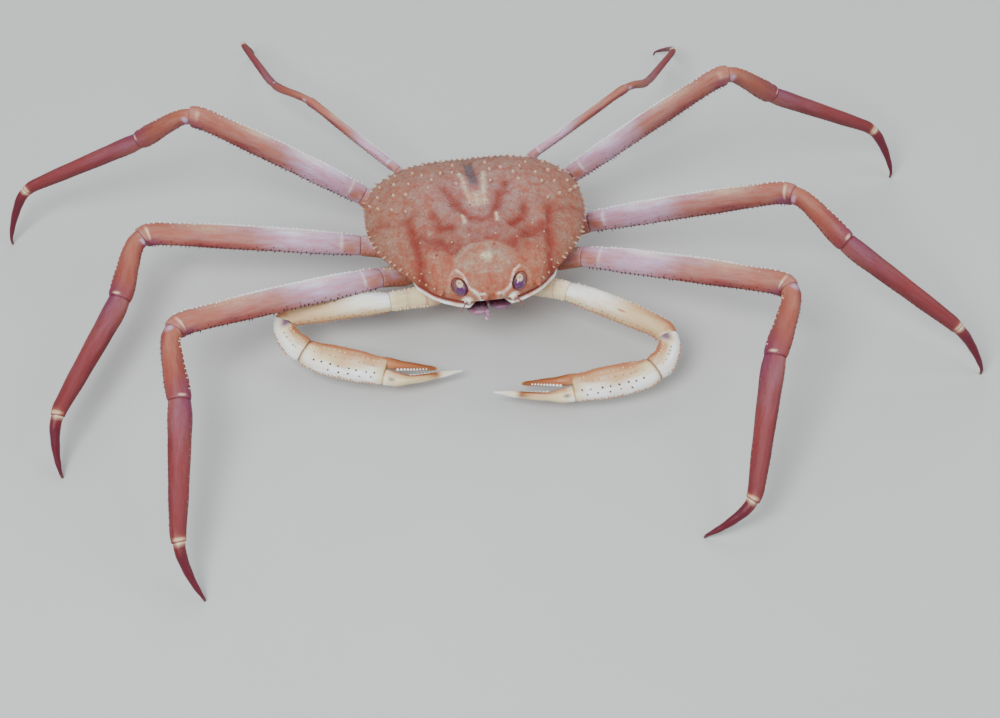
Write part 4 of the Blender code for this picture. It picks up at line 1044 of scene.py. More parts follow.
class CrabColours(bpy.types.PropertyGroup):
    """Colours of the crab."""
    tan: colour_setting("Tan", "Sides of the shell", (0.31, 0.148, 0.096))
    pink: colour_setting("Pink", "Middle of the shell", (0.318, 0.165, 0.148))
    red: colour_setting("Red", "Furrows of the shell", (0.205, 0.032, 0.02))
    rose: colour_setting("Rose", "Stomach region", (0.205, 0.062, 0.058))
    orange: colour_setting("Orange", "Front of the shell and lower faces of the legs", (0.362, 0.12, 0.064))
    # Brown is painted shade over the back of the shell, and also the colour of the toes' tips and the back furrow
    brown: colour_setting("Brown", "Back edge of the shell", (0.14, 0.075, 0.06))
    patch: colour_setting("Patch", "Pale cobbled patch between the eyes", (0.36, 0.22, 0.15))
    pale: colour_setting("Pale", "Whitish ridges beside the eyes and at the front", (0.88, 0.80, 0.66))
    cream: colour_setting("Cream", "Spine tips, claws and marks", (0.86, 0.72, 0.46))
    lavender: colour_setting("Lavender", "Upper faces of the legs near the body", (0.5, 0.345, 0.5))
    leg: colour_setting("Leg", "Legs at mid length", (0.37, 0.15, 0.12))
    leg_warm: colour_setting("Leg warm", "Lower faces of the legs near the knee", (0.335, 0.112, 0.07))
    # Leg dark is partly the legs' own dark tone and partly painted shade along their lower edges
    leg_dark: colour_setting("Leg dark", "Lower edges of the legs", (0.15, 0.02, 0.024))
    leg_red: colour_setting("Leg red", "Outer part of the legs", (0.2, 0.034, 0.038))
    crimson: colour_setting("Crimson", "Toes", (0.105, 0.01, 0.022))
    claw: colour_setting("Claw", "Claw limbs", (0.76, 0.66, 0.37))
    # White: the teeth, the lip's edge and other pale marks; on the claws' lower bands and the merus's top edge it is
    # partly their own pale colour and partly a painted highlight
    white: colour_setting("White", "Lower bands of the claws and edges of the legs", (0.9, 0.95, 0.93))
    palm: colour_setting("Palm", "Upper edge of the claws", (0.43, 0.158, 0.066))
    finger: colour_setting("Finger", "Fingers of the claws", (0.26, 0.075, 0.018))
    dot: colour_setting("Dot", "Dots and lower spines", (0.045, 0.006, 0.008))
    slate: colour_setting("Slate", "Bottom of the median groove", (0.097, 0.075, 0.086))
    violet: colour_setting("Violet", "Eyes and mouthparts", (0.1, 0.016, 0.108))
    socket: colour_setting("Socket", "Lining of the eye sockets", (0.16, 0.09, 0.12))
    membrane: colour_setting("Membrane", "Skin of the joints", (0.197, 0.122, 0.193))
    underside: colour_setting("Underside", "Trunk and tail plate", (0.584, 0.315, 0.162))


class CrabSizes(bpy.types.PropertyGroup):
    """Fineness of the meshes and size of the spines."""
    seed: count_setting("Seed", "Start of every random draw", 11)
    spokes: count_setting("Shell spokes", "Columns of the shell's mesh", 440, 48)
    rings: count_setting("Shell rings", "Rows of the shell's upper face", 170, 20)
    sides: count_setting("Limb sides", "Columns of an article's mesh", 40, 8)
    spacing: number_setting("Limb spacing", "Distance between an article's rows, mm", 1.6, 0.3)
    spine_sides: count_setting("Spine sides", "Columns of one spine", 8, 4)
    spine_length: number_setting("Spine length", "Factor on every spine's length", 1.0, 0.1, 3.0, "FACTOR")
    spine_width: number_setting("Spine width", "Factor on every spine's width", 1.0, 0.1, 3.0, "FACTOR")
    grains: count_setting("Small tubercles", "Small tubercles of the shell", 420)


class CrabStage(bpy.types.PropertyGroup):
    """Camera, floor and lights."""
    focal: number_setting("Focal length", "Lens of the camera in millimetres", 90.22, 10.0)
    camera: bpy.props.FloatVectorProperty(name="Camera", description="Place of the camera in the crab's frame",
                                          subtype="XYZ", default=(-163.12, -1303.57, 1465.6))
    gaze: bpy.props.FloatVectorProperty(name="Gaze", description="Way that the camera looks", subtype="XYZ",
                                        default=FRONT_WAY)
    floor: number_setting("Floor", "Side of the floor", 9.0, 1.0, 100.0, "DISTANCE")
    floor_colour: colour_setting("Floor colour", "Colour of the floor", (0.50, 0.51, 0.51))
    key: number_setting("Key light", "Power of the key light in watts", 60.0)
    fill: number_setting("Fill light", "Power of the fill light in watts", 18.0)
    sky: number_setting("Sky", "Strength of the even light", 0.5, 0.0, 2.0, "FACTOR")


def settings():
    """The scene's three groups of settings."""
    scene = bpy.context.scene
    return scene.crab_colours, scene.crab_sizes, scene.crab_stage


def hues(names):
    """Mean of colours named with plus signs between them."""
    return np.mean([getattr(settings()[0], name) for name in names.split("+")], axis=0)


def painted(ground, count, coats=()):
    """A ground colour for a number of vertices, with coats of (colour, strength at each vertex) over it."""
    colours = np.tile(hues(ground), (count, 1))
    for names, strength in coats:
        colours = mixed(colours, hues(names), strength)
    return colours


# Shell
def shell_tint(points):
    """Colours of the carapace by place."""
    out, along, height = points.T
    wide = np.abs(out)
    pink, tan, border = PINK_PATCH, TAN_PATCH, BORDER_NOISE
    shift = rough_noise(points, border["size"], 4.0) * border["reach"]
    centred = np.exp(-(wide / pink["half_width"]) ** 2 - ((along - pink["along"]) / pink["half_length"]) ** 2)
    # Pink in the middle, orange at the front, and painted shade in brown over the back
    coats = [("pink", centred * pink["strength"]), ("orange", fade("front orange", -along + 0.15 * wide)),
             ("brown", fade("back shade", along))]
    bands = []
    for line, width, _, colour, strength in BANDS.values():
        reach = band_distance(out + shift * border["sideways"], along + shift * border["lengthways"], line)
        bands.append((colour, strength * np.exp(-((reach / width) ** 2))))
    distance = np.hypot(out / tan["half_width"], (along - tan["along"]) / tan["half_length"])
    coats += [band for band in bands if band[0] not in LIGHT_BANDS]
    coats.append(("patch", fade("tan patch", distance + shift * border["patch"])))
    coats += [band for band in bands if band[0] in LIGHT_BANDS]
    coats += [("red", fade("stone gaps", cobble_noise(points, COBBLES["stones"][0]))),
              ("patch", fade("lump tops", rough_noise(points, COBBLES["lumps"][0]))),
              ("slate", fade("groove front", along) * fade("groove back", along) * fade("groove wall", wide))]
    for side in SIDES.values():
        boss = np.linalg.norm(points - np.array(antenna_root(side)), axis=1)
        coats += [("rose+orange", fade("socket wall", np.linalg.norm(orbit_reach(points, side), axis=1))),
                  ("cream+white", fade("antenna boss", boss))]
    heading = np.degrees(np.arctan2(along, out))
    limit = margin_radius(heading)
    below = MARGIN_HEIGHT - MARGIN_SLOPE * compass(heading, limit)[1] - height
    front = lip_share(heading)
    coats += [("red", front * fade("lip shade", below) * fade("shell edge", np.hypot(out, along) / limit)),
              ("cream+white+white", front * fade("lip top", below) * fade("lip foot", below)),
              ("cream", (1.0 - front) * fade("flank", below))]
    return painted("tan", len(points), coats)


def shell_mesh(size):
    """Points and faces of the fine carapace, closed below."""
    headings = np.arange(size.spokes) * (360.0 / size.spokes)
    shares = np.sin(0.5 * math.pi * np.linspace(1.0, 1.0 / size.rings, size.rings))
    upper = dome(headings[None, :], shares[:, None])
    flat, rim = upper.reshape(-1, 3), ORBIT_RIM
    edge_fade = np.repeat(np.minimum(1.0, 6.0 * (1.0 - shares) + 0.1), size.spokes)
    for kind, (grain, height) in COBBLES.items():
        bumps = cobble_noise(flat, grain) if kind == "stones" else rough_noise(flat, grain)
        flat[:, 2] += height * bumps * edge_fade
    for side in SIDES.values():
        away = orbit_reach(flat, side)
        reach = np.linalg.norm(away, axis=1, keepdims=True)
        flat += away / reach * rim["swell"] * np.exp(-((reach - rim["reach"]) / rim["spread"]) ** 2)
    upper = flat.reshape(upper.shape)
    radius = margin_radius(headings)
    way = np.stack(compass(headings, 1.0), axis=-1)
    weight = lip_share(headings)
    lower = []
    for side_row, front_row in zip(FLANK["side"], FLANK["front"]):
        share = side_row[0] + (front_row[0] - side_row[0]) * weight
        drop = side_row[1] + (front_row[1] - side_row[1]) * weight
        spot = way * (radius * share)[:, None]
        edge = MARGIN_HEIGHT - MARGIN_SLOPE * way[:, 1] * radius
        lower.append(np.column_stack([spot, np.maximum(CARAPACE_FLOOR, edge - drop)]))
    for share in FLOOR_RINGS:
        lower.append(np.column_stack([way * (radius * share)[:, None], np.full(size.spokes, CARAPACE_FLOOR)]))
    return closed_tube(list(reversed(lower)) + list(upper))


def socket_middle(side):
    """Middle of an eye socket, higher than the eye's."""
    return mirrored(EYE_CENTRE, side) + UP * (ORBIT_ROOM.z - CLEARANCE)


def orbit_reach(points, side):
    """Offsets of points from the middle of an eye socket, in socket radii along its own axes."""
    away = points - np.array(socket_middle(side))
    return away @ np.array(socket_turn(side)) / np.array(EYE_RADII + ORBIT_ROOM)


def socket_turn(side):
    """Turn of a socket and its eye: their front ends draw together."""
    return Matrix.Rotation(math.radians(side * -EYE_TURN), 3, "Z")


def front_tooth(tooth, side):
    """Blade of one tooth of the shell's front."""
    way, start = mirrored(tooth["way"], side).normalized(), mirrored(tooth["root"], side)
    blade = straight_article(start, start + way * tooth["length"], UP, TOOTH_OUTLINE, tooth["height"],
                             tooth["breadth"])
    return mesh_object("tooth", *tube_along(blade, 20, 28))


def ellipsoid(centre, radii, columns, rows, turn):
    """Points and faces of a rounded body, turned about its middle."""
    turns = round_turns(columns)
    rings = []
    for lift in np.linspace(-math.pi / 2, math.pi / 2, rows + 2)[1:-1]:
        ring = np.stack([np.cos(turns) * math.cos(lift), np.sin(turns) * math.cos(lift),
                         np.full(columns, math.sin(lift))], axis=-1)
        rings.append(np.array(centre) + ring * np.array(radii) @ np.array(turn).T)
    return closed_tube(rings)


def antenna_way(side):
    """Direction of an antenna: forward, outward and a little up."""
    return mirrored(ANTENNA["way"], side).normalized()


def antenna_root(side):
    """Middle of the front face of an antenna's boss."""
    return mirrored(ANTENNA["root"], side) + antenna_way(side) * ANTENNA["boss"]


class CRAB_OT_shell(bpy.types.Operator):
    """Make the carapace with its furrows, cobbles, eye sockets and front teeth"""
    bl_idname = "crab.shell"
    bl_label = "Shell"

    def execute(self, context):
        shell = mesh_object("carapace_shell", *shell_mesh(settings()[1]))
        tools, bowls = [], []
        for side in SIDES.values():
            tools += [front_tooth(ROSTRUM_TOOTH, side), front_tooth(ORBIT_TOOTH, side)]
            end = antenna_root(side)
            start = end - antenna_way(side) * (2.0 * ANTENNA["boss"])
            radius = ANTENNA["boss_radius"]
            boss = straight_article(start, end, UP, ((0, 1.0, 1.0), (1, 1.0, 1.0)), radius, radius)
            tools.append(mesh_object("boss", *tube_along(boss, 12, 24)))
            bowls.append(mesh_object("bowl", *ellipsoid(socket_middle(side), EYE_RADII + ORBIT_ROOM, 64, 44,
                                                        socket_turn(side))))
        boolean(shell, tools, "UNION")
        boolean(shell, bowls, "DIFFERENCE")
        set_tint(shell, shell_tint(mesh_points(shell)))
        surface = shell_surface("shell chitin", "red", 0.12, grain=420.0, depth=0.0006, mottle=0.17)
        finish_piece(shell, surface, "carapace", "carapace")
        return {"FINISHED"}


# Spines of the shell: length, girth, and how far they lean outwards
SHELL_SPINES = {
    "margin": (3.4, 1.5, 0.75),
    "front margin": (2.0, 1.5, 0.75),
    "side row": (3.2, 2.2, 0.0),
    "back row": (1.9, 1.9, 0.3),
    "tubercle": (2.1, 2.2, 0.0),
    "front tubercle": (1.2, 1.3, 0.0),
}
# Headings of the spines on the margin and of the row behind: first, last, step
MARGIN_HEADINGS = (-62.0, 62.0, 4.25)
BACK_HEADINGS = (60.0, 90.0, 4.0)
# Heading below which the spines on the margin are short
FRONT_MARGIN = -46.0
# Shares of the way out at which those rows stand
MARGIN_SHARE = 0.99
BACK_SHARE = 0.955
# Least and greatest height and girth of small tubercles
GRAIN_HEIGHTS = (0.4, 0.9)
GRAIN_GIRTHS = (0.5, 0.95)
# Places without small tubercles: median groove and round each eye
BARE = {"half_width": 7.0, "front": -22.0, "round_eye": 12.0}


class CRAB_OT_shell_spines(bpy.types.Operator):
    """Stand spines and tubercles on the carapace"""
    bl_idname = "crab.shell_spines"
    bl_label = "Shell spines"

    def execute(self, context):
        size = settings()[1]
        draw = random.Random(size.seed)
        studs, grains = Studs(), Studs()

        def stand(heading, share, length, girth, level, group=studs):
            base, normal = dome_frame(heading, share)
            outward = Vector((base.x, base.y, 0.0)).normalized()
            way = normal * (1.0 - level) + outward * level
            tint = shell_tint(np.array([base]))[0]
            group.add(base, way, length * draw.uniform(0.85, 1.2), girth * draw.uniform(0.85, 1.15), tint)

        for side in SIDES.values():
            def turned(heading):
                return heading if side > 0 else 180.0 - heading
            for heading in np.arange(*MARGIN_HEADINGS):
                length, girth, level = SHELL_SPINES["margin" if heading > FRONT_MARGIN else "front margin"]
                heading = turned(heading + draw.uniform(-0.6, 0.6))
                stand(heading, MARGIN_SHARE, length * draw.uniform(0.6, 1.0), girth, level)
            for heading, share in SIDE_ROW:
                stand(turned(heading), share, *SHELL_SPINES["side row"])
            for heading in np.arange(*BACK_HEADINGS):
                stand(turned(heading), BACK_SHARE + draw.uniform(-0.01, 0.01), *SHELL_SPINES["back row"])
            for out, along in TUBERCLES:
                heading, share = dome_place(side * out + draw.uniform(-1, 1), along + draw.uniform(-1, 1))
                stand(heading, share, *SHELL_SPINES["front tubercle" if along < -30 else "tubercle"])
        for _ in range(size.grains):
            heading, share = draw.uniform(0.0, 360.0), draw.uniform(0.1, 0.985) ** 0.6
            base = Vector(dome(np.array(heading), np.array(share)))
            if abs(base.x) < BARE["half_width"] and base.y > BARE["front"]:
                continue
            if any((base - mirrored(EYE_CENTRE, side)).length < BARE["round_eye"] for side in SIDES.values()):
                continue
            height, girth = draw.uniform(*GRAIN_HEIGHTS), draw.uniform(*GRAIN_GIRTHS)
            stand(heading, min(share, 0.985), height, girth, 0.0, grains)
        studs.make("carapace_spines", 0.7, spine_surface("shell spines", "cream+cream+tan", 0.3, 1.15), "carapace")
        grains.make("carapace_grains", 0.6, spine_surface("shell grains", "patch", 0.4, 1.3), "carapace")
        return {"FINISHED"}


class CRAB_OT_trunk(bpy.types.Operator):
    """Make the trunk and the tail plate under it"""
    bl_idname = "crab.trunk"
    bl_label = "Trunk and tail plate"

    def execute(self, context):
        surface = shell_surface("underside chitin", "orange", 0.04)
        self.trunk(surface)
        self.tail(surface)
        return {"FINISHED"}

    def outline(self):
        """Points round the trunk, with a flat for each limb."""
        half = [THORAX_FRONT]
        for out, along, heading in LIMB_FLATS.values():
            turn = math.radians(heading)
            across = Vector((-math.sin(turn), math.cos(turn))) * FLAT_HALF_LENGTH
            half += [(out - across.x, along - across.y), (out + across.x, along + across.y)]
        half.append(THORAX_BACK)
        corners = half + [(-out, along) for out, along in reversed(half)]
        steps = np.arange(20) / 20
        loop = np.concatenate([np.stack([x0 + (x1 - x0) * steps, y0 + (y1 - y0) * steps], axis=-1)
                               for (x0, y0), (x1, y1) in zip(corners, corners[1:] + corners[:1])])
        return np.mean([np.roll(loop, step, axis=0) for step in range(-3, 4)], axis=0)

    def trunk(self, surface):
        """Trunk with seams between its plates."""
        loop = self.outline()
        turns = np.degrees(np.arctan2(loop[:, 1], loop[:, 0]))
        reach = np.min([np.abs((turns - seam + 180.0) % 360.0 - 180.0)
                        for seam in SEAMS + tuple(180.0 - seam for seam in SEAMS)], axis=0)

        def ring(share, height, groove=0.0):
            arc = np.radians(reach) * np.hypot(loop[:, 0], loop[:, 1]) * share
            lift = groove * np.exp(-(arc / SEAM_WIDTH) ** 2)
            return np.column_stack([loop * share, np.full(len(loop), height) + lift])

        rows = TRUNK_RINGS
        rings = [ring(share, THORAX_TOP) for share in rows["top"]]
        rings += [ring(1.0, height) for height in np.linspace(THORAX_TOP - 0.8, THORAX_SIDE_FOOT, rows["side"])]
        for share in np.linspace(0.985, THORAX_INSET, rows["foot"]):
            drop = (1.0 - share) / (1.0 - THORAX_INSET)
            rings.append(ring(share, THORAX_SIDE_FOOT + (THORAX_BOTTOM - THORAX_SIDE_FOOT) * drop ** 0.7, 1.0))
        for share in np.linspace(0.83, 0.04, rows["floor"]):
            rings.append(ring(share, THORAX_BOTTOM, SEAM_DEPTH * float(smooth(share, 0.25, 0.4))))
        trunk = mesh_object("trunk", *closed_tube(rings))
        out, along, height = mesh_points(trunk).T
        lifted = height - THORAX_BOTTOM
        mouth = fade("mouth front", -along) * fade("mouth sides", np.abs(out)) * fade("mouth foot", lifted)
        coats = (("orange", fade("trunk seams", lifted) * (np.hypot(out, along) < SEAM_REACH)),
                 ("orange", fade("trunk sides", height)), ("violet+crimson+rose", mouth))
        set_tint(trunk, painted("underside", len(out), coats))
        finish_piece(trunk, surface, "underside", "thorax")

    def tail(self, surface):
        """Tail plate with its joints, folded under the trunk."""
        size, groove = ABDOMEN, TAIL_GROOVE
        height = THORAX_BOTTOM - CLEARANCE - size["thickness"] / 2
        tip = size["tip"] / size["half_width"]
        outline = ((0, 0.7, 0.75), (0.06, 0.9, 1.0), (0.28, 1.0, 1.0), (0.5, 0.72, 1.0), (0.9, tip * 1.3, 1.0),
                   (1, tip * 0.6, 0.6))
        plate = straight_article(Vector((0, size["back"], height)), Vector((0, size["front"], height)),
                                 Vector((1, 0, 0)), outline, size["half_width"], size["thickness"] / 2)

        def grow(place):
            return 1.0 - groove["depth"] * sum(math.exp(-((place - joint) / groove["width"]) ** 2)
                                               for joint in TAIL_JOINTS)

        tail = mesh_object("tail_plate", *tube_along(plate, 90, 48, grow))
        share = (size["back"] - mesh_points(tail)[:, 1]) / (size["back"] - size["front"])
        coats = [("orange", groove["paint"] * np.exp(-((share - joint) / groove["paint_width"]) ** 2))
                 for joint in TAIL_JOINTS]
        set_tint(tail, painted("underside", len(share), coats))
        finish_piece(tail, surface, "underside", "abdomen")


class CRAB_OT_face(bpy.types.Operator):
    """Make the eyes, antennae and outer mouthparts"""
    bl_idname = "crab.face"
    bl_label = "Eyes, antennae and mouthparts"

    def execute(self, context):
        glass = eye_surface("eye")
        mouth = shell_surface("mouthpart chitin", "violet", roughness=(0.3, 0.5))
        whip = shell_surface("antenna chitin", "red")
        for side_name, side in SIDES.items():
            self.eye(side_name, side, glass)
            self.antenna(side_name, side, whip)
            self.mouthpart(side_name, side, mouth)
        return {"FINISHED"}

    def eye(self, side_name, side, surface):
        """Eye with a pale knob on top and a violet cornea in front, in the soft lining of its socket."""
        centre = np.array(mirrored(EYE_CENTRE, side))
        points, faces = ellipsoid(centre, EYE_RADII, 72, 48, socket_turn(side))
        ways = (points - centre) / np.array(EYE_RADII)
        ways /= np.linalg.norm(ways, axis=1, keepdims=True)
        knob = angle_to(ways, Vector(KNOB["way"]))
        swell = KNOB["rise"] * np.exp(-(knob / KNOB["reach"]) ** 4)
        points = centre + (points - centre) * (KNOB["rest"] + swell[:, None])
        eye = mesh_object(f"eye_ball_{side_name}", points, faces)
        coats = (("violet", fade("cornea", angle_to(ways, mirrored(CORNEA_WAY, side)))),
                 ("cream+patch", fade("knob", knob)), ("orange", fade("knob middle", knob)))
        set_tint(eye, painted("socket+rose", len(points), coats))
        finish_piece(eye, surface, "eye", f"eye_{side_name}")
        turn = (socket_turn(side) @ Matrix.Rotation(math.radians(LINING["slope"]), 3, "X")
                @ Matrix.Rotation(math.radians(side * LINING["roll"]), 3, "Y"))
        base = Vector(centre) - turn @ Vector((0.0, 0.0, LINING["sunk"]))
        lining = mesh_object(f"socket_lining_{side_name}", *ellipsoid(base, LINING["radii"], 64, 32, turn))
        near = np.linalg.norm(mesh_points(lining) - centre, axis=1)
        set_tint(lining, painted("socket", len(near), (("rose+orange", fade("lining edge", near)),)))
        finish_piece(lining, membrane_surface("socket lining"), "eye")

    def antenna(self, side_name, side, surface):
        """Ringed whip."""
        size = ANTENNA
        way = antenna_way(side)
        start = antenna_root(side) + way * CLEARANCE
        taper = size["tip"] / size["radius"]
        outline = ((0, 1.0, 1.0), (0.15, 0.75, 0.75), (0.5, 0.5, 0.5), (1, taper, taper))
        line = straight_article(start, start + way * size["length"], UP, outline, size["radius"], size["radius"],
                                size["bow"])

        def ringed(place):
            return 0.94 + 0.08 * math.cos(place * size["rings"] * 2 * math.pi)

        item = mesh_object(f"antenna_whip_{side_name}", *tube_along(line, 120, 20, ringed))
        points = mesh_points(item)
        share = ((points - np.array(start)) @ np.array(way)) / size["length"]
        set_tint(item, blend_tints(((0, hues("cream+rose")), (0.3, hues("membrane+rose")), (1, hues("rose"))), share))
        finish_piece(item, surface, "antenna", f"antenna_{side_name}")

    def mouthpart(self, side_name, side, surface):
        """Outer mouthpart: two plates with a groove, and on the right side a small jointed palp."""
        size = MAXILLIPED
        start = Vector((side * size["out"], THORAX_FRONT[1] - CLEARANCE, size["height"]))
        way = direction(-90.0 - side * size["turn"], size["pitch"])
        outline = ((0, 0.85, 1.0), (0.3, 1.0, 1.0), (0.75, 0.95, 0.9), (1, 0.6, 0.6))
        stem = start - Vector((0, size["stem"], 0))
        tip = stem + way * MAXILLIPED_LENGTHS[side]
        plate = bent_article([start, stem, tip], Vector((1, 0, 0)), outline, size)
        joint, line, turns = MOUTH_JOINT, MOUTH_GROOVE, round_turns(44)
        groove = 1.0 - line["depth"] * np.exp(-((np.cos(turns) + line["turn"] * side) / line["width"]) ** 2)
        rings = []
        for place in np.linspace(0.0, 1.0, 60):
            ring = plate.ring(place, turns)
            centre = ring.mean(0)
            waist = 1.0 - joint["depth"] * math.exp(-((place - joint["place"]) / joint["width"]) ** 2)
            rings.append(centre + (ring - centre) * (waist * groove)[:, None])
        parts = [closed_tube(rings)]
        corner = Vector(plate.ring(0.93, np.array([0.0 if side < 0 else math.pi]))[0])
        first = corner
        for offset, girth in PALP if side < 0 else ():
            last = corner + Vector(offset)
            palp = straight_article(first, last, UP.cross(last - first) + Vector((0.01, 0, 0)), PALP_OUTLINE, girth,
                                    girth)
            parts.append(tube_along(palp, 12, 22))
            first = last
        item = mesh_object(f"mouthpart_{side_name}", *joined(parts))
        points = mesh_points(item)
        table = ((0, hues("violet+rose")), (0.5, hues("violet+rose+lavender")), (1, hues("lavender+rose")))
        colours = blend_tints(table, fade("mouthpart", -points[:, 1]))
        if side < 0:
            away = np.linalg.norm(points - np.array(first), axis=1)
            colours = mixed(colours, hues("white+lavender"), fade("palp tip", away))
        set_tint(item, colours)
        finish_piece(item, surface, "mouthpart", f"maxilliped_{side_name}")


def angle_to(ways, way):
    """Angle in radians between unit vectors and one way."""
    return np.arccos(np.clip(ways @ np.array(way.normalized()), -1.0, 1.0))


# Distance from an article's end and the section's share there, as it rounds in towards the joint
END_ROUNDING = ((0.0, 0.94), (0.3, 0.975), (0.8, 0.995), (1.4, 1.0))
# Ridge along each edge of an article, and the swelling just before its far joint
RIDGE = {"width": 0.16, "run_out": 6.0}
KNUCKLE = {"spread": 3.0, "set_back": 1.2}
# Rows of an article's mesh stand at least this far apart
LEAST_SPACING = 0.15
# How many times longer than wide the streaks of a limb are, and how uneven its colours' borders
STREAK = 5.0
PAINT_NOISE = {"size": 3.0, "reach": 0.3}


def article_skin(article, size, ends, ridge, knuckle):
    """One article's fine skin with rounded rims and two ridges: mesh, places, heights across, streak grain."""
    reaches, shares = zip(*END_ROUNDING)
    places = set(np.linspace(0.0, 1.0, max(12, int(article.length / size.spacing))))
    for reach in reaches:
        places |= {reach / article.length, 1.0 - reach / article.length}
    turns = round_turns(size.sides)
    rings, stops, heights, grain = [], [], [], []
    for place in sorted(places):
        if stops and (place - stops[-1]) * article.length < LEAST_SPACING:
            continue
        grow = 1.0
        for use, distance in ((ends[0], place), (ends[1], 1.0 - place)):
            if use:
                grow = min(grow, float(np.interp(distance * article.length, reaches, shares)))
        middle = min(1.0, RIDGE["run_out"] * place, RIDGE["run_out"] * (1.0 - place))
        swell = knuckle * math.exp(-((1.0 - place) * article.length / KNUCKLE["spread"] - KNUCKLE["set_back"]) ** 2)
        away = turns - article.lean(place)
        crest = ridge * middle * np.exp(-(np.sin(away) / RIDGE["width"]) ** 2)
        centre = np.array(article.frame(place)[0])
        rings.append(centre + (article.ring(place, turns) - centre) * (grow * (1.0 + crest + swell))[:, None])
        stops.append(place)
        heights.append(np.cos(away))
        run = np.full(size.sides, place * article.length / STREAK)
        grain += list(zip(run, article.breadth * np.cos(turns), article.thickness * np.sin(turns)))
    places = np.append(np.repeat(stops, size.sides), [0.0, 1.0])
    grain += [(0.0, 0.0, 0.0), (article.length / STREAK, 0.0, 0.0)]
    return closed_tube(rings), places, np.append(heights, [0.0, 0.0]), np.array(grain)


def paint_limb(item, places, heights, grain, table, marks):
    """Paint an article from a table of (place, colours from its top edge to its lower one), and marks over it."""
    attribute = item.data.attributes.new("grain", "FLOAT_VECTOR", "POINT")
    attribute.data.foreach_set("vector", (grain * MM).astype(np.float32).ravel())
    rows = [[hues(names) for names in row.split()] for _, row in table]
    stops, levels = [place for place, _ in table], len(rows[0])
    uneven = PAINT_NOISE["reach"] * rough_noise(grain + places[:, None], PAINT_NOISE["size"], 2.0)
    soft = np.clip(heights + uneven, -1.0, 1.0)
    depth = (1.0 - soft) * (levels - 1) / 2.0
    colours = sum(blend_tints([(stop, row[k]) for stop, row in zip(stops, rows)], places)
                  * smooth(1.0 - np.abs(depth - k), 0.0, 1.0)[:, None] for k in range(levels))
    for place, height, reach, spread, colour, strength in marks:
        away = np.hypot((places - place) / reach, (heights - height) / spread)
        colours = mixed(colours, hues(colour), strength * np.exp(-away ** 4))
    set_tint(item, colours)


# Roughness of each leg article
LEG_SHEEN = {"base": (0.42, 0.66), "merus": (0.36, 0.58), "carpus": (0.40, 0.62), "propodus": (0.42, 0.64),
             "dactyl": (0.30, 0.50)}
# Share of the spines' size on the small last legs
LAST_LEG = 0.62
# Colours along each article: place, and colours from its top edge to its lower one in the front view
# In the lower column, leg_dark is partly the legs' own dark spinules and partly painted shade along their lower
# edges; on the propodus, the paler middle between darker edges is partly a painted highlight
LEG_PAINT = {
    "base": ((0, "underside underside orange"), (0.5, "lavender leg orange"),
             (0.75, "cream+leg lavender+leg orange"), (1, "lavender leg leg")),
    "merus": ((0, "lavender+leg leg lavender+leg"), (0.12, "lavender lavender+leg leg+lavender"),
              # The white at the merus's top edge here is partly a pale ridge and partly a painted highlight
              (0.32, "lavender+white lavender leg+lavender"), (0.5, "lavender+leg leg leg_red+leg"),
              (0.7, "leg+cream+leg_warm leg leg_red"), (0.86, "leg+leg_warm leg+leg_warm leg_red+leg_warm"),
              (0.97, "leg_warm leg_warm+leg leg_red+violet"), (1, "leg leg leg_dark")),
    "carpus": ((0, "leg_warm leg membrane"), (0.06, "leg_warm leg_warm leg_red"),
               (0.3, "leg_red+leg_warm leg_warm leg_red+leg_warm"),
               (0.7, "leg_red+rose leg_red+leg_warm leg_red+leg_warm"),
               (1, "leg_red+violet leg_red+leg_warm+violet leg_red")),
    "propodus": ((0, "leg_red+violet leg_red+leg+violet leg_dark+leg"),
                 (0.3, "leg_dark+rose leg_red+leg_red+leg+violet leg_dark"),
                 (0.5, "leg_red leg_red leg_dark"), (0.95, "leg_dark leg_dark+leg_red leg_dark"),
                 (1, "leg_warm leg_warm leg_dark")),
    "dactyl": ((0, "cream cream leg"), (0.05, "leg_dark leg_dark leg_dark"), (0.2, "crimson crimson crimson"),
               (0.9, "crimson crimson crimson"), (1, "brown brown brown")),
}
# Marks: place, height, reach along as a share, spread across, colour, strength
LEG_MARKS = {
    "base": ((0.34, 0.0, 0.025, 9.0, "rose", 0.7), (0.68, 0.0, 0.025, 9.0, "rose", 0.6),
             (0.85, -0.3, 0.10, 0.5, "orange", 0.6)),
    # The white along the merus's top edge is partly a pale ridge and partly a painted highlight
    "merus": ((0.4, 1.0, 0.40, 0.10, "white", 0.75), (0.05, -0.4, 0.03, 0.45, "orange", 0.75),
              (0.09, 0.2, 0.007, 0.9, "white", 0.35), (0.972, 0.1, 0.005, 0.6, "cream", 0.7)),
    "carpus": ((0.05, -0.5, 0.035, 0.4, "lavender", 0.8), (0.97, 0.35, 0.015, 0.3, "cream", 0.7)),
    "propodus": ((0.004, 0.0, 0.006, 9.0, "leg_dark", 0.7), (0.985, 0.2, 0.010, 0.8, "cream", 0.6)),
}
# Spines of the rows: how far out and forwards they stand, which rows are on an edge, how much they waver
ROW = {"skin": 1.03, "lean": 0.4, "edge": 0.9, "waver": 0.08}
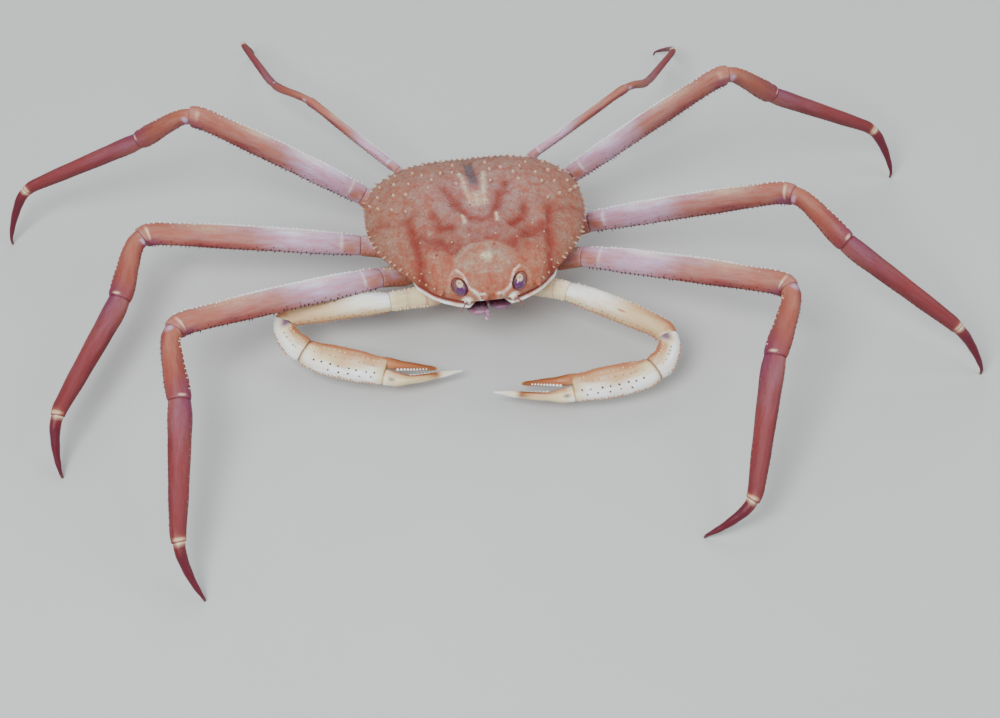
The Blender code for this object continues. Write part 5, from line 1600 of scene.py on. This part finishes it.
# Rows of spines: height across, count, first, last, length, girth, colour
LEG_ROWS = {
    "base": ((0.8, 5, 0.3, 0.95, 1.2, 0.7, "cream"), (-0.8, 5, 0.3, 0.95, 1.4, 0.8, "orange")),
    "merus": ((1.0, 42, 0.03, 0.97, 1.2, 0.65, "white"), (-1.0, 46, 0.03, 0.97, 2.2, 0.75, "dot"),
              (0.72, 12, 0.05, 0.9, 0.5, 0.4, "cream"), (-0.78, 14, 0.05, 0.95, 0.8, 0.45, "dot")),
    "carpus": ((1.0, 11, 0.1, 0.92, 1.1, 0.6, "cream"), (-1.0, 10, 0.15, 0.92, 1.3, 0.6, "dot"),
               (0.5, 5, 0.2, 0.9, 0.5, 0.4, "leg")),
    "propodus": ((1.0, 14, 0.05, 0.8, 0.7, 0.45, "leg"), (-1.0, 20, 0.05, 0.9, 1.0, 0.5, "dot"),
                 (0.5, 8, 0.05, 0.8, 0.4, 0.35, "leg_red")),
    "dactyl": ((1.0, 5, 0.1, 0.5, 0.5, 0.35, "leg_dark"),),
}


def dress_article(node, article, ends, bulges, paint, marks, *finish):
    """An article's painted skin, with its surface; the solid that it stands for is hidden and the slot is not used.
    """
    mesh, *skin = article_skin(article, settings()[1], ends, *bulges)
    item = mesh_object(node + "_skin", *mesh)
    paint_limb(item, *skin, paint, marks)
    finish_piece(item, *finish)


def add_rows(studs, article, rows, draw, scale=1.0):
    """Rows of spines along an article; those between its edges stand on the far face too."""
    for height, count, first, last, length, girth, colour in rows:
        for k in range(count):
            place = first + (last - first) * (k + draw.uniform(0.3, 0.7)) / count
            for front in (True, False) if abs(height) < ROW["edge"] else (True,):
                waver = math.copysign(draw.uniform(0.0, ROW["waver"]), -height)
                turn = article.turn_at(place, height + waver, front)
                base = Vector(article.ring(place, np.array([turn]), ROW["skin"])[0])
                way = article.outward(place, turn) + article.frame(place)[3] * ROW["lean"]
                tall, wide = scale * length * draw.uniform(0.7, 1.2), scale * girth * draw.uniform(0.8, 1.15)
                studs.add(base, way, tall, wide, hues(colour))


def finish_joints(name, surface, parts, slot):
    """Make one piece of a limb group's joint skins."""
    skin = mesh_object(name, *joined(parts))
    set_tint(skin, painted("membrane", len(skin.data.vertices)))
    finish_piece(skin, membrane_surface(surface), slot)


class CRAB_OT_legs(bpy.types.Operator):
    """Make the eight walking legs, with their spines and joint skins"""
    bl_idname = "crab.legs"
    bl_label = "Legs"

    def execute(self, context):
        surfaces = {kind: shell_surface(f"leg {kind} chitin", "leg_dark", roughness=sheen, mottle=0.11, streaks=True)
                    for kind, sheen in LEG_SHEEN.items()}
        spines, skins = Studs(), []
        draw = random.Random(settings()[1].seed + 1)
        for side_name in SIDES:
            for number in LEG_ROOTS:
                chain = leg_articles(number, side_name)
                for kind, article in zip(("base",) + ARTICLES, chain):
                    node = f"leg_{number}_{side_name}_{kind}"
                    bulges = (0.05, 0.05 if kind in ("merus", "carpus") else 0.0)
                    dress_article(node, article, (True, kind != "dactyl"), bulges, LEG_PAINT[kind],
                                  LEG_MARKS.get(kind, ()), surfaces[kind], f"leg_{kind}", node)
                    add_rows(spines, article, LEG_ROWS[kind], draw, LAST_LEG if number == 4 else 1.0)
                skins += joint_skins(chain)
        spines.make("leg_spines", 1.1, spine_surface("leg spines", "cream", 0.8, 2.0), "leg_merus")
        finish_joints("leg_joint_skins", "leg joint skin", skins, "leg_base")
        return {"FINISHED"}


# Folds of the joint skin: distance from the joint and share of the article's section
FOLDS = ((0.3, 0.86), (0.8, 0.86), (1.5, 0.80), (2.4, 0.70), (4.0, 0.70))


def joint_skins(chain):
    """Folded soft skin between each two articles of a limb."""
    turns = round_turns(36)
    parts = []
    for inner, outer in zip(chain, chain[1:]):
        stops = [(inner, 1.0 - reach / inner.length, grow) for reach, grow in reversed(FOLDS)]
        stops += [(outer, reach / outer.length, grow) for reach, grow in FOLDS]
        rings = []
        for article, place, grow in stops:
            centre = np.array(article.frame(place)[0])
            rings.append(centre + (article.ring(place, turns) - centre) * grow)
        parts.append(closed_tube(rings))
    return parts


# Claws: paint, marks and rows as on the legs
# The white of the claws' lower bands is partly their own pale underside and partly a painted highlight where they
# face the camera
CLAW_PAINT = {
    "base": ((0, "underside underside orange"), (0.4, "cream claw cream"), (1, "white+cream claw cream")),
    "merus": ((0, "white+lavender white claw"), (0.3, "white claw+white claw+palm"),
              (0.6, "claw+palm claw+palm+claw palm+claw"), (0.95, "palm palm+claw palm+claw"),
              (1, "palm claw claw")),
    "carpus": ((0, "cream cream claw white white"), (0.12, "rose+palm palm claw white white"),
               (0.6, "palm palm+claw claw+white white white+cream"), (1, "palm palm+claw claw+white white white")),
    "palm": ((0, "red palm+claw claw claw claw"), (0.06, "palm claw claw+white white claw"),
             (0.2, "palm palm+claw claw white white"), (0.5, "palm palm+palm+claw claw+palm white white+claw"),
             (0.85, "palm palm+palm+claw white+claw white white"), (1, "palm palm+claw claw+palm claw claw")),
    "finger": ((0, "cream cream white"), (0.12, "palm cream cream"), (0.2, "palm claw claw"),
               (0.5, "finger claw+palm claw"), (0.66, "finger finger claw+palm"), (0.74, "cream cream white"),
               (1, "white white white")),
    "fixed_finger": ((0, "palm palm claw"), (0.3, "finger palm palm"), (0.8, "finger finger palm"),
                     (0.93, "finger finger palm"), (1, "cream cream white")),
}
CLAW_MARKS = {
    "base": ((0.35, 0.0, 0.02, 9.0, "palm", 0.7), (0.7, 0.0, 0.02, 9.0, "palm", 0.6)),
    "merus": ((0.97, 0.3, 0.02, 0.5, "palm", 0.6),),
    "carpus": ((0.07, 0.25, 0.24, 0.80, "cream", 0.9), (0.06, 0.25, 0.16, 0.55, "membrane", 0.95),
               (0.06, 0.25, 0.10, 0.30, "violet", 0.5)),
    "palm": ((0.0, 0.0, 0.022, 9.0, "red", 0.8),),
    "finger": ((0.1, -0.1, 0.045, 0.3, "slate", 0.8), (0.0, 0.0, 0.015, 9.0, "palm", 0.7)),
}
CLAW_ROWS = {
    "base": ((0.95, 7, 0.3, 0.95, 1.4, 0.8, "cream"), (-0.95, 9, 0.3, 0.95, 1.6, 0.8, "cream")),
    "merus": ((1.0, 22, 0.05, 0.96, 1.1, 0.7, "cream"), (-1.0, 26, 0.05, 0.96, 1.6, 0.8, "palm"),
              (-0.75, 12, 0.1, 0.95, 0.6, 0.6, "palm")),
    "carpus": ((1.0, 10, 0.12, 0.92, 1.3, 0.8, "palm"), (0.7, 7, 0.2, 0.92, 0.8, 0.7, "cream"),
               (-0.1, 5, 0.3, 0.9, 0.4, 0.6, "dot"), (-0.97, 12, 0.2, 0.9, 1.2, 0.8, "palm")),
    "palm": ((1.0, 18, 0.04, 0.94, 1.1, 0.8, "palm"), (0.72, 13, 0.06, 0.95, 0.6, 0.75, "claw"),
             (0.35, 9, 0.1, 0.9, 0.4, 0.55, "palm"), (-0.28, 8, 0.1, 0.95, 0.5, 0.85, "dot"),
             (-0.62, 5, 0.25, 0.95, 0.5, 0.8, "dot"), (-1.0, 24, 0.04, 0.94, 1.2, 0.8, "palm")),
}
TEETH = {"count": 10, "first": 0.34, "last": 0.78, "radius": 1.35, "taper": 0.45, "height": 1.1}
CLAW_KINDS = ("base", "merus", "carpus", "palm", "finger", "fixed_finger")


class CRAB_OT_claws(bpy.types.Operator):
    """Make both claw limbs, with their spines, dots, teeth and joint skins"""
    bl_idname = "crab.claws"
    bl_label = "Claw limbs"

    def execute(self, context):
        arm = shell_surface("claw chitin", "palm", 0.04, mottle=0.06, streaks=True)
        tip = shell_surface("finger chitin", "finger", roughness=(0.26, 0.45), mottle=0.06, streaks=True)
        spines, teeth, skins = Studs(), Studs(), []
        draw = random.Random(settings()[1].seed + 2)
        for side_name in SIDES:
            chain, moving, fixed = cheliped_articles(side_name)
            for kind, article in zip(CLAW_KINDS, chain + [moving, fixed]):
                node = f"cheliped_{side_name}_{kind}"
                ends = (kind != "fixed_finger", "finger" not in kind)
                bulges = (0.04, 0.04 if ends[1] else 0.0)
                finish = (arm, "claw", node) if ends[1] else (tip, "finger", node) if ends[0] else (tip, "finger")
                dress_article(node, article, ends, bulges, CLAW_PAINT[kind], CLAW_MARKS.get(kind, ()), *finish)
                add_rows(spines, article, CLAW_ROWS.get(kind, ()), draw)
            self.tooth_row(teeth, moving, fixed)
            self.tooth_row(teeth, fixed, moving)
            skins += joint_skins(chain)
        spines.make("claw_spines", 0.8, spine_surface("claw spines", "cream", 0.6, 1.6), "claw")
        teeth.make("claw_teeth", 0.5, spine_surface("claw teeth", "white", 0.0, 0.3), "finger")
        finish_joints("claw_joint_skins", "claw joint skin", skins, "claw")
        return {"FINISHED"}

    def tooth_row(self, teeth, article, other):
        """Teeth of one finger, on the side that faces the other."""
        for k in range(TEETH["count"]):
            place = TEETH["first"] + (TEETH["last"] - TEETH["first"]) * k / (TEETH["count"] - 1)
            centre, dorsal, flat, _, _ = article.frame(place)
            towards = (other.frame(place)[0] - centre).normalized()
            turn = math.atan2(towards.dot(flat), towards.dot(dorsal))
            base = Vector(article.ring(place, np.array([turn]))[0])
            girth = TEETH["radius"] * (1.0 - TEETH["taper"] * k / TEETH["count"])
            teeth.add(base, towards, TEETH["height"] * girth, girth, hues("white"))


# Lamps of the studio: place and side in metres
LAMPS = {"key": ((-0.9, -1.1, 1.9), 1.1), "fill": ((1.5, -0.6, 1.3), 1.4), "back": ((0.2, 1.6, 1.6), 1.4)}
SKY = (0.93, 0.97, 1.0, 1.0)


class CRAB_OT_stage(bpy.types.Operator):
    """Set the floor, the lights and the camera"""
    bl_idname = "crab.stage"
    bl_label = "Stage"

    def execute(self, context):
        stage = settings()[2]
        half = stage.floor / 2
        mesh = bpy.data.meshes.new("floor")
        mesh.from_pydata([(-half, -half, 0), (half, -half, 0), (half, half, 0), (-half, half, 0)], [], [(0, 1, 2, 3)])
        mesh.materials.append(floor_surface(tuple(stage.floor_colour)))
        floor = new_object("floor", mesh)
        for name, (place, side) in LAMPS.items():
            light = bpy.data.lights.new(name, "AREA")
            light.energy, light.size = stage.key if name == "key" else stage.fill, side
            lamp = new_object(name, light)
            lamp.location = place
            lamp.rotation_euler = (-Vector(place)).to_track_quat("-Z", "Y").to_euler()
        world = context.scene.world = bpy.data.worlds.new("studio")
        world.use_nodes = True
        sky = world.node_tree.nodes["Background"]
        sky.inputs["Color"].default_value = SKY
        sky.inputs["Strength"].default_value = stage.sky
        camera = bpy.data.cameras.new("camera")
        camera.sensor_fit, camera.sensor_width, camera.lens = "HORIZONTAL", 36.0, stage.focal
        eye = new_object("camera", camera)
        eye.location = (Vector(stage.camera) + SHIFT) * MM
        eye.rotation_euler = Vector(stage.gaze).to_track_quat("-Z", "Y").to_euler()
        context.scene.camera = eye
        return {"FINISHED"}


class CRAB_PT_panel(bpy.types.Panel):
    """Sizes, colours and steps of the crab"""
    bl_idname = "CRAB_PT_panel"
    bl_label = "Grooved tanner crab"
    bl_space_type = "VIEW_3D"
    bl_region_type = "UI"
    bl_category = "Crab"

    def draw(self, context):
        for group in settings():
            box = self.layout.box()
            for name in group.__annotations__:
                box.prop(group, name)
        for step in STEPS:
            self.layout.operator(step.bl_idname)


STEPS = (CRAB_OT_shell, CRAB_OT_shell_spines, CRAB_OT_trunk, CRAB_OT_face, CRAB_OT_legs, CRAB_OT_claws,
         CRAB_OT_stage)
GROUPS = {"crab_colours": CrabColours, "crab_sizes": CrabSizes, "crab_stage": CrabStage}


def register():
    """Add the settings, steps and panel."""
    for item in (*GROUPS.values(), *STEPS, CRAB_PT_panel):
        bpy.utils.register_class(item)
    for name, group in GROUPS.items():
        setattr(bpy.types.Scene, name, bpy.props.PointerProperty(type=group))


def unregister():
    """Take the settings, steps and panel away."""
    for name in GROUPS:
        delattr(bpy.types.Scene, name)
    for item in (CRAB_PT_panel, *STEPS[::-1], *GROUPS.values()):
        bpy.utils.unregister_class(item)


def main():
    """Make every piece in order."""
    register()
    for step in STEPS:
        family, name = step.bl_idname.split(".")
        getattr(getattr(bpy.ops, family), name)()


if __name__ == "__main__":
    main()
